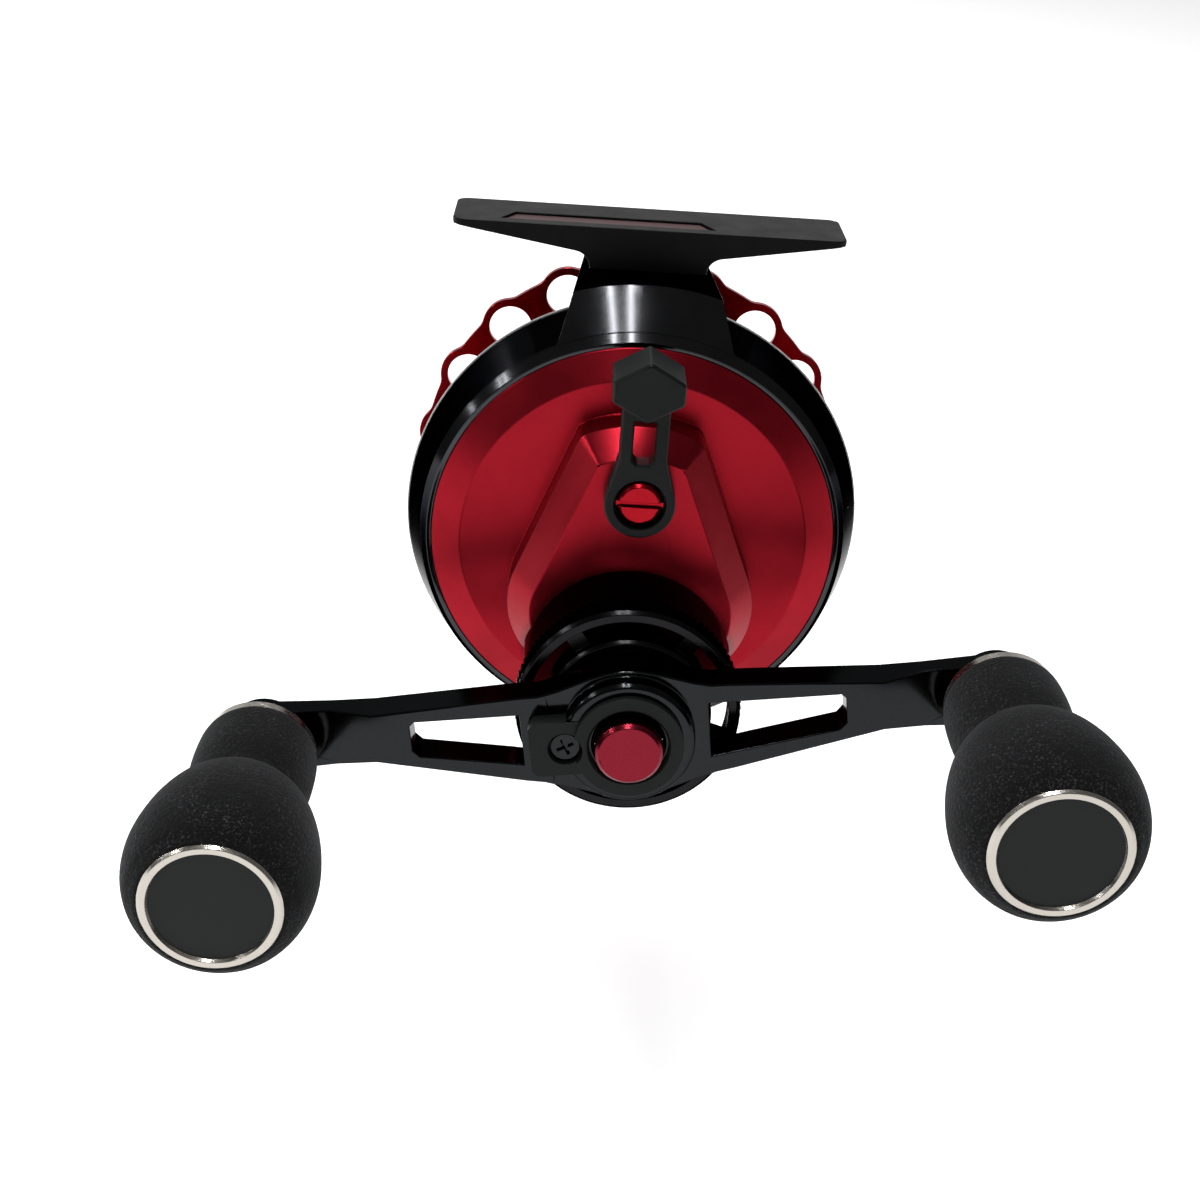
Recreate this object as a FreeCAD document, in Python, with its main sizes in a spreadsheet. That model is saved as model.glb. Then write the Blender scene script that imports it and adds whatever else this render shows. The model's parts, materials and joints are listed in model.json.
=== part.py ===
import FreeCAD, Part
import Sketcher
import math
import os
import re

# Geared side-drum casting reel, millimetres.
# Origin: centre of the foot's top face, where the rod's reel seat clamps.
# +Z points up out of the foot, +X runs along the foot, the handle faces -Y.
# The spool axis and the drive axis both run along Y below the foot.

DIMS = {
    # the two axes and the handle's rest angle
    "spool_drop": 51.8, "drive_drop": 69.8, "rest_angle": 7.8,
    # foot and its stem
    "foot_length": 69.7, "foot_width": 16.0, "foot_tip": 1.0, "foot_root": 4.9,
    "stem_half": 10.4, "stem_bottom": -7.6,
    "seat_groove_length": 38.0, "seat_groove_back": -0.4, "seat_groove_front": -5.2,
    "seat_groove_depth": 0.6, "foot_fillet": 3.0, "foot_corner": 2.2,
    "foot_screw_low": 12.0, "foot_screw_seat": 10.6, "foot_screw_end": 3.7,
    "foot_screw_exit": 13.6, "seat_groove_shift": 7.4, "foot_screw_gap": 9.0, "foot_screw_radius": 1.5,
    # frame: a shallow cup with an arm over the spool
    "rim_radius": 40.9, "parting_radius": 38.0, "rim_back": -14.0, "parting": -23.4,
    "cup_radius": 38.8, "web_back": -18.0, "web_front": -20.0, "frame_bore": 35.0,
    "arm_top": 44.6, "arm_inner": 39.6, "arm_back": 7.2, "arm_nose": -17.8,
    "arm_front_half": 15.4, "arm_nose_half": 13.1, "arm_back_half": 11.2,
    "hub_radius": 8.0, "hub_end": 3.0, "hub_bore": 4.6,
    "web_boss_end": -22.5, "drive_boss_radius": 6.6,
    # covers
    "bezel_front": -25.5, "bezel_radius": 36.3, "cover_radius": 35.9,
    "cover_face": -27.7, "cover_face_radius": 30.7, "cover_wall": 1.6,
    "boss_face": -39.3, "boss_bevel": 5.0, "boss_slope": 4.1, "boss_top": 24.8,
    "boss_corner": 3.0, "boss_side": 18.05, "boss_lean": 21.8, "boss_low_across": 6.0,
    "boss_low_drop": 8.5, "dish_radius": 18.2, "dish_floor": -35.9,
    "dish_wall": 1.3,
    "collar_radius": 8.6, "collar_end": -45.0,
    "screw_circle": 32.4, "screw_radius": 1.0, "screw_post": 2.2,
    # clutch lever and its pivot
    "pivot_rise": 14.2, "lever_back": -39.5, "lever_front": -43.6, "lever_end": 6.0,
    "lever_half": 4.0, "shoulder_half": 5.5, "shoulder_low": 2.5, "shoulder_high": 8.0,
    "pad_rise": 21.2, "pad_half": 5.9, "pad_point": 5.15, "pad_side": 1.8,
    "pad_back": -38.6, "pad_front": -48.3,
    "lever_slot_low": 7.2, "lever_slot_high": 14.6, "lever_slot_half": 1.8,
    "pivot_head": 4.05, "pivot_head_front": -43.4, "pivot_seat": -41.6,
    "pivot_pocket": 4.4, "pivot_shank": 1.4,
    "cam_shaft": 2.8, "cam_radius": 4.2, "cam_front": -36.6, "cam_back": -35.1,
    "bush_radius": 3.8,
    # clutch yoke, its two posts and their springs
    "yoke_front": -32.05, "yoke_back": -30.85, "post_half_gap": 8.5, "post_rise": 8.0,
    "post_radius": 1.25, "yoke_eye": 2.4, "fork_inner": 3.65, "fork_outer": 5.6,
    "follower_front": -34.9, "follower_radius": 1.5, "follower_rise": 11.0,
    "spring_radius": 1.9, "spring_wire": 0.5, "spring_pitch": 1.5,
    "spring_back": -20.1, "spring_front": -28.9,
    # gear pair: standard spur gears, centre distance 18.0
    "gear_module": 0.6, "gear_teeth": 45.0, "pinion_teeth": 15.0, "backlash": 0.10,
    "gear_back": -25.4, "gear_front": -28.8, "pinion_back": -25.5,
    "pinion_front": -30.7, "pinion_neck": 3.5, "pinion_collar_back": -32.2,
    "pinion_collar": 5.1, "pinion_end": -34.2, "pinion_slot": 1.8, "pinion_slot_end": -32.6,
    # spool and its shaft
    "spool_face": 11.7, "spool_back": 13.2, "spool_root": 40.1, "scallop_fillet": 3.6, "port_circle": 36.1,
    "port_radius": 4.0, "port_wall": 1.4, "port_count": 18.0, "port_turn": 2.5, "near_flange_back": -15.3,
    "near_flange_front": -16.8, "near_flange_radius": 38.2, "arbor_radius": 26.0,
    "arbor_wall": 1.6, "lightening_circle": 17.5, "lightening_radius": 4.2,
    "spool_hub": 7.0, "spool_hub_front": 4.6, "shaft_radius": 2.5, "shaft_front": -34.4,
    "shaft_back": 17.0, "pin_radius": 0.7, "pin_half": 4.0, "pin_depth": -33.5,
    "nut_radius": 5.6, "nut_end": 17.6,
    # bearings
    "fit_gap": 0.03, "race_radius": 5.5, "race_width": 4.0, "rear_race_front": -1.4,
    "front_race_front": -22.2, "drive_bush_radius": 4.6, "drive_bush_back": -19.2,
    # drive shaft, drag stack and drag wheel
    "drive_radius": 3.0, "drive_back": -19.5, "drive_front": -66.4, "drag_radius": 9.0,
    "flange_back": -23.2, "flange_front": -24.4, "plate_back": -29.8, "plate_front": -31.2,
    "sleeve_radius": 4.5, "sleeve_front": -47.5, "clutch_race": 7.0,
    "clutch_race_back": -36.6, "clutch_race_front": -44.6,
    "wheel_back": -49.3, "wheel_hub": 14.0, "wheel_hub_back": -51.4,
    "wheel_hub_front": -57.8, "wheel_rim": 18.9, "wheel_rim_inner": 16.9,
    "wheel_rim_back": -52.1, "wheel_rim_front": -56.8, "spoke_half": 1.5,
    "spring_washer": 6.4,
    # handle
    "arm_hub": 10.9, "arm_hub_back": -58.4, "arm_hub_front": -67.4, "arm_front": -64.4,
    "arm_pad_front": -58.6, "arm_pad_back": -54.6, "arm_bend_front": -60.2,
    "arm_bend_back": -53.5, "arm_bend": 42.5, "arm_step": 19.8, "arm_step_back": -57.3,
    "arm_root_half": 7.9, "hub_blend": 11.8, "arm_tip_half": 4.5,
    "arm_root": 17.0, "pad_start": 49.5, "knob_offset": 61.4,
    "arm_pad_radius": 6.4, "pad_flare": 5.2, "window_near": 13.4, "window_far": 36.2, "window_left": 17.6,
    "window_near_half": 4.9, "window_far_half": 3.2,
    "nut_pocket": 5.9, "nut_back": -63.4, "retainer_radius": 9.0,
    "retainer_front": -68.6, "tab_reach": 16.2, "tab_half": 4.9,
    "tab_front": -67.6, "tab_seat": -65.6, "tab_recess": 2.85, "tab_cup": 3.4,
    "lobe_offset": 10.4, "lobe_screw": 2.3, "cap_radius": 5.5, "cap_front": -71.0,
    "cap_recess": 6.5,
    # knobs
    "axle_radius": 2.5, "axle_head": 3.6, "axle_back": -51.2,
    "collar_knob": 5.3, "collar_plate": 9.4, "plate_knob_back": -61.6,
    "collar_front": -63.2, "core_back": -63.4, "core_front": -101.5,
    "core_radius": 6.5, "core_bore": 4.5, "grip_back": -63.5, "grip_end": -107.1,
    "knob_race_gap": 20.0, "knob_race_width": 3.0, "cap_ring": 10.8, "cap_ring_inner": 9.1,
    "cap_ring_front": -107.5, "cap_disc_front": -106.9, "cap_back": -104.2,
}

COVER_SCREW_ANGLES = (15, 90, 165, 235, 305)
FOOT_SCREW_PLACES = ("-foot_screw_gap / 2", "foot_screw_gap / 2")

doc = FreeCAD.newDocument("CastingReel")
sheet = doc.addObject("Spreadsheet::Sheet", "Dims")
SUB_PARTS = []


def fill_sheet():
    """One row per driving dimension: its name, and its value under that alias."""
    for row, (name, number) in enumerate(DIMS.items(), start=1):
        sheet.set(f"A{row}", name)
        sheet.set(f"B{row}", str(number))
        sheet.setAlias(f"B{row}", name)
    doc.recompute()


def ref(text):
    """Turn 'rim_radius + 2' into an expression that reads the sheet."""
    return re.sub(r"\b[a-z]+(?:_[a-z]+)+\b|\bparting\b|\bbacklash\b", r"Dims.\g<0>", text)


def value(text):
    """The present number of an expression written in the sheet's names."""
    return float(sheet.evalExpression(re.sub(r"Dims\.", "", ref(text))))


def bind(item, prop, text):
    item.setExpression(prop, ref(text))


def keep(item, label):
    """Register a finished piece under its node name."""
    item.Label = label
    SUB_PARTS.append(item)
    return item


def put(item, across="0", depth="0", drop="0"):
    """Place a piece: across the reel, along its axes, and below the foot."""
    bind(item, "Placement.Base.x", across)
    bind(item, "Placement.Base.y", depth)
    bind(item, "Placement.Base.z", f"-({drop})")


def turn_about_axis(item, drop, angle):
    """Stand a piece on a drum or drive axis, turned about it towards the viewer's left."""
    item.Placement = FreeCAD.Placement(
        FreeCAD.Vector(0, 0, -value(drop)),
        FreeCAD.Rotation(FreeCAD.Vector(0, -1, 0), value(angle)))
    put(item, drop=drop)
    bind(item, "Placement.Rotation.Angle", angle)


def new_body(name):
    return doc.addObject("PartDesign::Body", name)


def new_sketch(body, plane, offset="0"):
    """A sketch on one of the body's own origin planes, moved off it along its normal."""
    sketch = body.newObject("Sketcher::SketchObject", body.Name + "_sketch")
    origin_plane = next(f for f in body.Origin.OriginFeatures if f.Role == plane)
    sketch.AttachmentSupport = [(origin_plane, "")]
    sketch.MapMode = "FlatFace"
    bind(sketch, "AttachmentOffset.Base.z", offset)
    return sketch


def fix_point(sketch, geometry, point, x_text, y_text):
    """Tie one sketch point to the origin by two distances read from the sheet."""
    for kind, text in (("DistanceX", x_text), ("DistanceY", y_text)):
        index = sketch.addConstraint(
            Sketcher.Constraint(kind, -1, 1, geometry, point, value(text)))
        bind(sketch, f"Constraints[{index}]", text)


def outline(sketch, points):
    """A closed straight-sided outline through points given as sheet expressions."""
    corners = [FreeCAD.Vector(value(x), value(y), 0) for x, y in points]
    first = sketch.GeometryCount
    count = len(corners)
    for i in range(count):
        sketch.addGeometry(Part.LineSegment(corners[i], corners[(i + 1) % count]), False)
    for i in range(count):
        following = first + (i + 1) % count
        sketch.addConstraint(Sketcher.Constraint("Coincident", first + i, 2, following, 1))
    for i, (x_text, y_text) in enumerate(points):
        fix_point(sketch, first + i, 1, x_text, y_text)


def circle(sketch, x_text, y_text, radius_text):
    """A circle whose centre and radius are read from the sheet."""
    centre = FreeCAD.Vector(value(x_text), value(y_text), 0)
    up = FreeCAD.Vector(0, 0, 1)
    index = sketch.addGeometry(Part.Circle(centre, up, value(radius_text)), False)
    fix_point(sketch, index, 3, x_text, y_text)
    size = sketch.addConstraint(Sketcher.Constraint("Radius", index, value(radius_text)))
    bind(sketch, f"Constraints[{size}]", radius_text)


def revolve(body, points):
    """Turn a (radius, depth) outline about the body's Y axis."""
    sketch = new_sketch(body, "XY_Plane")
    outline(sketch, points)
    turn = body.newObject("PartDesign::Revolution", body.Name + "_turn")
    turn.Profile = sketch
    turn.ReferenceAxis = (sketch, ["V_Axis"])
    turn.Angle = 360.0
    return turn


def extrude(body, draw, start, stop):
    """Pad a front-view sketch (X across, Z up) from depth start forward to depth stop."""
    sketch = new_sketch(body, "XZ_Plane", f"-({start})")
    draw(sketch)
    pad = body.newObject("PartDesign::Pad", body.Name + "_pad")
    pad.Profile = sketch
    bind(pad, "Length", f"({start}) - ({stop})")
    body.Tip = pad
    return pad


def cut(body, draw, start, stop):
    """Pocket a front-view sketch between depth start (back) and depth stop (front)."""
    before = body_volume(body)
    sketch = new_sketch(body, "XZ_Plane", f"-({start})")
    draw(sketch)
    pocket = body.newObject("PartDesign::Pocket", body.Name + "_pocket")
    pocket.Profile = sketch
    pocket.Reversed = True
    bind(pocket, "Length", f"({start}) - ({stop})")
    body.Tip = pocket
    if body_volume(body) > before - 1e-3:
        raise RuntimeError(f"{body.Name}: a pocket removed nothing")
    return pocket


def body_volume(body):
    doc.recompute()
    return body.Shape.Volume


def pattern(body, feature, count_text):
    """Repeat one feature of a body evenly about its Y axis."""
    ring = body.newObject("PartDesign::PolarPattern", body.Name + "_ring")
    y_axis = next(f for f in body.Origin.OriginFeatures if f.Role == "Y_Axis")
    ring.Originals = [feature]
    ring.Axis = (y_axis, [""])
    ring.Angle = 360.0
    bind(ring, "Occurrences", count_text)
    body.Tip = ring
    return ring


def dress(body, kind, size_text, wanted):
    """Fillet or chamfer the edges of a body that pass a test on their middle point."""
    doc.recompute()
    base = body.Tip
    names = []
    for i, edge in enumerate(base.Shape.Edges, start=1):
        middle = edge.valueAt((edge.FirstParameter + edge.LastParameter) / 2)
        if wanted(middle, edge):
            names.append(f"Edge{i}")
    feature = body.newObject(f"PartDesign::{kind}", f"{body.Name}_{kind.lower()}")
    feature.Base = (base, names)
    bind(feature, "Radius" if kind == "Fillet" else "Size", size_text)
    body.Tip = feature
    return feature


def turned(label, points, across="0", drop="spool_drop"):
    """A fully turned piece: a (radius, depth) outline about an axis along Y."""
    body = new_body(label)
    revolve(body, points)
    put(body, across, "0", drop)
    return keep(body, label)


def ring_points(inner, outer, back, front):
    """Outline of a plain ring or, with inner '0', of a plain disc."""
    return [(inner, back), (outer, back), (outer, front), (inner, front)]


def join(kind, label, base, tools):
    """Boolean of whole pieces: Part::Cut, Part::MultiFuse or Part::Common."""
    if kind == "MultiFuse":
        result = doc.addObject("Part::MultiFuse", label + "_joined")
        result.Shapes = [base] + tools
        result.Refine = True
        return result
    for tool in tools:
        result = doc.addObject(f"Part::{kind}", label + "_cut")
        result.Base = base
        result.Tool = tool
        result.Refine = True
        base = result
    return result


def solid_from(name, shape):
    """A piece whose shape is computed here from sheet values."""
    item = doc.addObject("Part::Feature", name)
    item.Shape = shape
    return item


# ---------------------------------------------------------------- foot and frame

def make_foot():
    """Foot plate, thin at its ends and thick at the stem, with a groove in its top."""
    body = new_body("reel_foot")
    side = new_sketch(body, "XZ_Plane", "-(foot_width / 2)")
    outline(side, [
        ("-foot_length / 2", "0"), ("foot_length / 2", "0"),
        ("foot_length / 2", "-foot_tip"), ("stem_half", "-foot_root"),
        ("stem_half", "stem_bottom"), ("-stem_half", "stem_bottom"),
        ("-stem_half", "-foot_root"), ("-foot_length / 2", "-foot_tip")])
    plate = body.newObject("PartDesign::Pad", "foot_pad")
    plate.Profile = side
    bind(plate, "Length", "foot_width")
    dress(body, "Fillet", "foot_fillet", lambda m, e: (
        abs(abs(m.x) - value("stem_half")) < 0.01 and abs(m.z + value("foot_root")) < 0.01))
    dress(body, "Fillet", "foot_corner", lambda m, e: (
        abs(abs(m.x) - value("foot_length") / 2) < 0.01 and
        abs(abs(m.y) - value("foot_width") / 2) < 0.01))
    groove = new_sketch(body, "XY_Plane", "-seat_groove_depth")
    half = "seat_groove_length / 2"
    outline(groove, [
        (f"-seat_groove_shift - {half}", "seat_groove_front"),
        (f"-seat_groove_shift + {half}", "seat_groove_front"),
        (f"-seat_groove_shift + {half} - 2.5", "seat_groove_back"),
        (f"-seat_groove_shift - {half} + 2.5", "seat_groove_back")])
    channel = body.newObject("PartDesign::Pocket", "foot_groove")
    channel.Profile = groove
    channel.Reversed = True
    channel.Length = 4.0
    for x_text in ("-foot_screw_gap / 2", "foot_screw_gap / 2"):
        hole = new_sketch(body, "XY_Plane", "stem_bottom - 1")
        circle(hole, x_text, "0", "foot_screw_radius")
        bore = body.newObject("PartDesign::Pocket", "foot_bore")
        bore.Profile = hole
        bore.Reversed = True
        bore.Length = 5.0
    return keep(body, "reel_foot")


def make_frame():
    """Cup behind the gear cover, its hub tube, and the arm that carries the foot."""
    cup = new_body("frame_cup")
    revolve(cup, [
        ("hub_bore", "web_front"), ("hub_bore", "hub_end"), ("hub_radius", "hub_end"),
        ("hub_radius", "web_back"), ("cup_radius", "web_back"), ("cup_radius", "rim_back"),
        ("rim_radius - 0.4", "rim_back"), ("rim_radius", "rim_back - 0.5"),
        ("parting_radius", "parting"), ("frame_bore", "parting"),
        ("frame_bore", "web_front")])
    extrude(cup, lambda s: circle(s, "0", "0", "hub_radius"), "web_front + 1", "web_boss_end")
    extrude(cup, lambda s: circle(s, "0", "spool_drop - drive_drop", "drive_boss_radius"),
            "web_front + 1", "web_boss_end")
    cut(cup, lambda s: circle(s, "0", "0", "hub_bore"), "hub_end", "web_boss_end - 1")
    cut(cup, lambda s: circle(s, "0", "0", "race_radius"),
        "hub_end", "rear_race_front")
    cut(cup, lambda s: circle(s, "0", "0", "race_radius"),
        "front_race_front + race_width", "web_boss_end - 1")
    cut(cup, lambda s: circle(s, "0", "spool_drop - drive_drop", "drive_bush_radius"),
        "drive_bush_back", "web_boss_end - 1")
    for angle in COVER_SCREW_ANGLES:
        at = (f"screw_circle * cos({angle}deg)", f"screw_circle * sin({angle}deg)")
        cut(cup, lambda s, p=at: circle(s, p[0], p[1], "screw_radius"), "web_back + 1",
            "web_front - 1")
        cut(cup, lambda s, p=at: circle(s, p[0], p[1], "screw_radius * 1.9"), "web_back + 1",
            "web_back - 1")
    for side in ("-", ""):
        cut(cup, lambda s, m=side: circle(s, f"{m}post_half_gap", "post_rise", "post_radius"),
            "web_back - 0.6", "web_front - 1")
    put(cup, drop="spool_drop")

    arm = new_body("frame_arm_ring")
    revolve(arm, [
        ("arm_inner", "arm_back"), ("arm_top - 0.8", "arm_back"), ("arm_top", "arm_back - 0.8"),
        ("arm_top", "arm_nose + 0.4"), ("arm_top - 0.3", "arm_nose - 0.1"),
        ("parting_radius", "parting"), ("parting_radius - 2.4", "parting"),
        ("arm_inner", "rim_back - 1")])
    put(arm, drop="spool_drop")

    plan = new_body("frame_arm_plan")
    sketch = new_sketch(plan, "XY_Plane", "0")
    outline(sketch, [
        ("-arm_front_half", "parting"), ("arm_front_half", "parting"),
        ("arm_nose_half", "arm_nose"), ("arm_back_half", "arm_back"),
        ("-arm_back_half", "arm_back"), ("-arm_nose_half", "arm_nose")])
    slab = plan.newObject("PartDesign::Pad", "arm_slab")
    slab.Profile = sketch
    bind(slab, "Length", "spool_drop")
    put(plan, drop="spool_drop")
    arm_cut = join("Common", "frame_arm", arm, [plan])

    stem_tool = new_body("stem_seat")
    extrude(stem_tool, lambda s: outline(s, [
        ("-stem_half - 0.02", "stem_bottom"), ("stem_half + 0.02", "stem_bottom"),
        ("stem_half + 0.02", "0"), ("-stem_half - 0.02", "0")]), "foot_width", "-foot_width")
    screw_tools = [foot_screw_hole(x_text) for x_text in FOOT_SCREW_PLACES]
    whole = join("MultiFuse", "frame_blank", cup, [arm_cut])
    return keep(join("Cut", "frame", whole, [stem_tool] + screw_tools), "frame")


def foot_screw_hole(x_text):
    """Clearance hole through the arm, counterbored from below."""
    hole = new_body("foot_screw_hole")
    stand_up(hole, x_text, "foot_screw_radius", "foot_screw_exit", "-stem_bottom - 0.6")
    stand_up(hole, x_text, "foot_screw_radius * 1.8", "foot_screw_exit", "foot_screw_seat")
    return hole


def stand_up(body, x_text, radius, low, high):
    """Add an upright round peg between two depths below the foot's top face."""
    sketch = new_sketch(body, "XY_Plane", f"-({low})")
    circle(sketch, x_text, "0", radius)
    peg = body.newObject("PartDesign::Pad", "peg")
    peg.Profile = sketch
    bind(peg, "Length", f"({low}) - ({high})")


def make_foot_screws():
    """Two cap screws up through the arm into the foot's stem."""
    screws = []
    for x_text in FOOT_SCREW_PLACES:
        body = new_body("foot_screw")
        stand_up(body, x_text, "foot_screw_radius * 1.75", "foot_screw_low", "foot_screw_seat")
        stand_up(body, x_text, "foot_screw_radius", "foot_screw_seat", "foot_screw_end")
        socket = new_sketch(body, "XY_Plane", "-(foot_screw_low - 0.8)")
        circle(socket, x_text, "0", "foot_screw_radius * 0.7")
        recess = body.newObject("PartDesign::Pocket", "screw_socket")
        recess.Profile = socket
        recess.Length = 2.0
        screws.append(body)
    return keep(join("MultiFuse", "foot_screws", screws[0], screws[1:]), "foot_screws")


# ---------------------------------------------------------------- covers

def make_bezel():
    turned("bezel_ring", [
        ("cover_radius + 0.05", "parting"), ("parting_radius - 0.25", "parting"),
        ("parting_radius", "parting - 0.25"), ("bezel_radius + 0.5", "bezel_front + 0.1"),
        ("bezel_radius + 0.1", "bezel_front"), ("cover_radius + 0.05", "bezel_front")])


def boss_wire(inset, depth):
    """Keystone outline: arched top, small top corners, leaning sides, rounded low corners."""
    lean = math.radians(value("boss_lean"))
    normal = FreeCAD.Vector(math.cos(lean), 0, math.sin(lean))
    along = FreeCAD.Vector(-math.sin(lean), 0, math.cos(lean))
    level = FreeCAD.Vector(0, depth, 0)
    corner = max(value("boss_corner") - inset, 0.6)
    # the top corner touches the side from inside and the top arch from below
    side_gap = value("boss_side") - inset - corner
    arch_gap = value("boss_top") - inset - corner
    centre = normal * side_gap + along * math.sqrt(arch_gap ** 2 - side_gap ** 2)
    outward = FreeCAD.Vector(centre).normalize()
    halfway = (normal + outward).normalize()
    side_end = level + centre + normal * corner
    corner_mid = level + centre + halfway * corner
    arch_end = level + centre + outward * corner
    arch_mid = level + FreeCAD.Vector(0, 0, value("boss_top") - inset)
    low_centre = FreeCAD.Vector(value("boss_low_across"), 0, -value("boss_low_drop"))
    low_radius = value("boss_side") - low_centre.dot(normal) - inset
    side_start = level + low_centre + normal * low_radius
    half_turn = (lean - math.pi / 2) / 2
    low_mid = level + low_centre + FreeCAD.Vector(
        math.cos(half_turn), 0, math.sin(half_turn)) * low_radius
    low_end = level + low_centre - FreeCAD.Vector(0, 0, low_radius)

    def mirrored(point):
        return FreeCAD.Vector(-point.x, point.y, point.z)

    return Part.Wire([
        Part.LineSegment(side_start, side_end).toShape(),
        Part.Arc(side_end, corner_mid, arch_end).toShape(),
        Part.Arc(arch_end, arch_mid, mirrored(arch_end)).toShape(),
        Part.Arc(mirrored(arch_end), mirrored(corner_mid), mirrored(side_end)).toShape(),
        Part.LineSegment(mirrored(side_end), mirrored(side_start)).toShape(),
        Part.Arc(mirrored(side_start), mirrored(low_mid), mirrored(low_end)).toShape(),
        Part.LineSegment(mirrored(low_end), low_end).toShape(),
        Part.Arc(low_end, low_mid, side_start).toShape()])


def boss_shape(inset, back, front, bevel):
    """Keystone boss from back to front, its front edge sloped in all the way round."""
    slope_in = value("boss_slope")
    straight = Part.makeLoft([boss_wire(inset, back), boss_wire(inset, front + bevel)],
                             True, True)
    slope = Part.makeLoft([boss_wire(inset, front + bevel),
                           boss_wire(inset + slope_in, front)], True, True)
    return straight.fuse(slope)


def disc(radius, back, front, x=0.0, z=0.0):
    """Plain cylinder along Y, in spool-axis coordinates."""
    low, high = min(back, front), max(back, front)
    return Part.makeCylinder(radius, high - low, FreeCAD.Vector(x, low, z),
                             FreeCAD.Vector(0, 1, 0))


def make_cover():
    """Gear cover: dished disc, keystone boss with a bevel, dish and collar for the drive."""
    v = value
    wall = v("cover_wall")
    drive_z = v("spool_drop") - v("drive_drop")
    skin = new_body("cover_skin")
    revolve(skin, [
        ("0", "cover_face + cover_wall"), ("cover_face_radius - 0.6", "cover_face + cover_wall"),
        ("cover_radius - cover_wall", "bezel_front + 0.9"),
        ("cover_radius - cover_wall", "parting"), ("cover_radius", "parting"),
        ("cover_radius", "bezel_front"), ("cover_face_radius", "cover_face"),
        ("0", "cover_face")])
    doc.recompute()
    shape = skin.Shape.copy()
    shape = shape.fuse(boss_shape(0.0, v("cover_face") + wall, v("boss_face"), v("boss_bevel")))
    shape = shape.fuse(disc(v("dish_radius"), v("cover_face") + wall, v("dish_floor"), 0, drive_z))
    shape = shape.cut(disc(v("dish_radius"), v("dish_floor"), v("boss_face") - 1, 0, drive_z))
    chamber = boss_shape(wall, v("cover_face") + wall + 3, v("boss_face") + wall,
                         v("boss_bevel") - wall * 0.6)
    gear_room = disc(v("dish_radius") - wall, v("cover_face") + wall + 3,
                     v("dish_floor") + v("dish_wall"), 0, drive_z)
    dish_block = disc(v("dish_radius") + wall, v("dish_floor") + v("dish_wall"),
                      v("boss_face") - 1, 0, drive_z)
    shape = shape.cut(chamber.fuse(gear_room).cut(dish_block))
    for angle in COVER_SCREW_ANGLES:
        x = v("screw_circle") * math.cos(math.radians(angle))
        z = v("screw_circle") * math.sin(math.radians(angle))
        post = disc(v("screw_post"), v("web_front"), v("bezel_front") + 0.1, x, z)
        shape = shape.fuse(post)
        shape = shape.cut(disc(v("screw_radius"), v("web_front") + 1, v("web_front") - 5.5, x, z))
    # collar round the drive sleeve, with the one-way bearing's seat
    shape = shape.fuse(disc(v("collar_radius"), v("dish_floor") + v("dish_wall"),
                            v("collar_end"), 0, drive_z))
    shape = shape.cut(disc(v("sleeve_radius") + 0.4, v("dish_floor") + 3,
                           v("collar_end") - 1, 0, drive_z))
    shape = shape.cut(disc(v("clutch_race"), v("clutch_race_back"), v("collar_end") - 1,
                           0, drive_z))
    # bore of the lever's bush
    shape = shape.cut(disc(v("bush_radius"), v("boss_face") + wall + 1, v("boss_face") - 1,
                           0, v("pivot_rise")))
    item = solid_from("gear_cover", shape.removeSplitter())
    item.Placement = FreeCAD.Placement(FreeCAD.Vector(0, 0, -v("spool_drop")),
                                       FreeCAD.Rotation())
    return keep(item, "gear_cover")


def make_cover_screws():
    """Countersunk screws from the cup's side into the cover's posts, one solid each."""
    screws = []
    for angle in COVER_SCREW_ANGLES:
        body = new_body("cover_screw")
        revolve(body, [
            ("0", "web_back - 0.25"), ("screw_radius * 1.85", "web_back - 0.05"),
            ("screw_radius * 1.85", "web_back - 1"), ("screw_radius", "web_back - 1"),
            ("screw_radius", "web_front - 4.5"), ("0", "web_front - 4.5")])
        put(body, f"screw_circle * cos({angle}deg)", "0",
            f"spool_drop - screw_circle * sin({angle}deg)")
        screws.append(body)
    return keep(join("MultiFuse", "cover_screws", screws[0], screws[1:]), "cover_screws")


# ---------------------------------------------------------------- clutch

def make_lever():
    """Clutch lever: round end on the pivot, slotted arm, and a root for the thumb pad."""
    body = new_body("clutch_lever")
    extrude(body, lambda s: circle(s, "0", "0", "lever_end"), "lever_back", "lever_front")
    extrude(body, lambda s: outline(s, [
        ("-shoulder_half", "0"), ("shoulder_half", "0"), ("shoulder_half", "shoulder_low"),
        ("lever_half", "shoulder_high"), ("lever_half", "pad_rise"),
        ("-lever_half", "pad_rise"), ("-lever_half", "shoulder_high"),
        ("-shoulder_half", "shoulder_low")]), "lever_back", "lever_front")
    cut(body, lambda s: outline(s, [
        ("-lever_slot_half", "lever_slot_low + 0.8"),
        ("-lever_slot_half + 0.8", "lever_slot_low"),
        ("lever_slot_half - 0.8", "lever_slot_low"),
        ("lever_slot_half", "lever_slot_low + 0.8"), ("lever_slot_half", "lever_slot_high"),
        ("-lever_slot_half", "lever_slot_high")]), "lever_back", "lever_front")
    cut(body, lambda s: circle(s, "0", "0", "pivot_shank + 0.05"), "lever_back", "lever_front")
    cut(body, lambda s: circle(s, "0", "0", "pivot_pocket"), "pivot_seat", "lever_front")
    dress(body, "Chamfer", "0.35", lambda m, e: (
        abs(m.y - value("lever_front")) < 0.01 and m.z < value("pad_rise") - 5.2
        and math.hypot(m.x, m.z) > 5))
    put(body, drop="spool_drop - pivot_rise")
    return keep(body, "clutch_lever")


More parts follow.
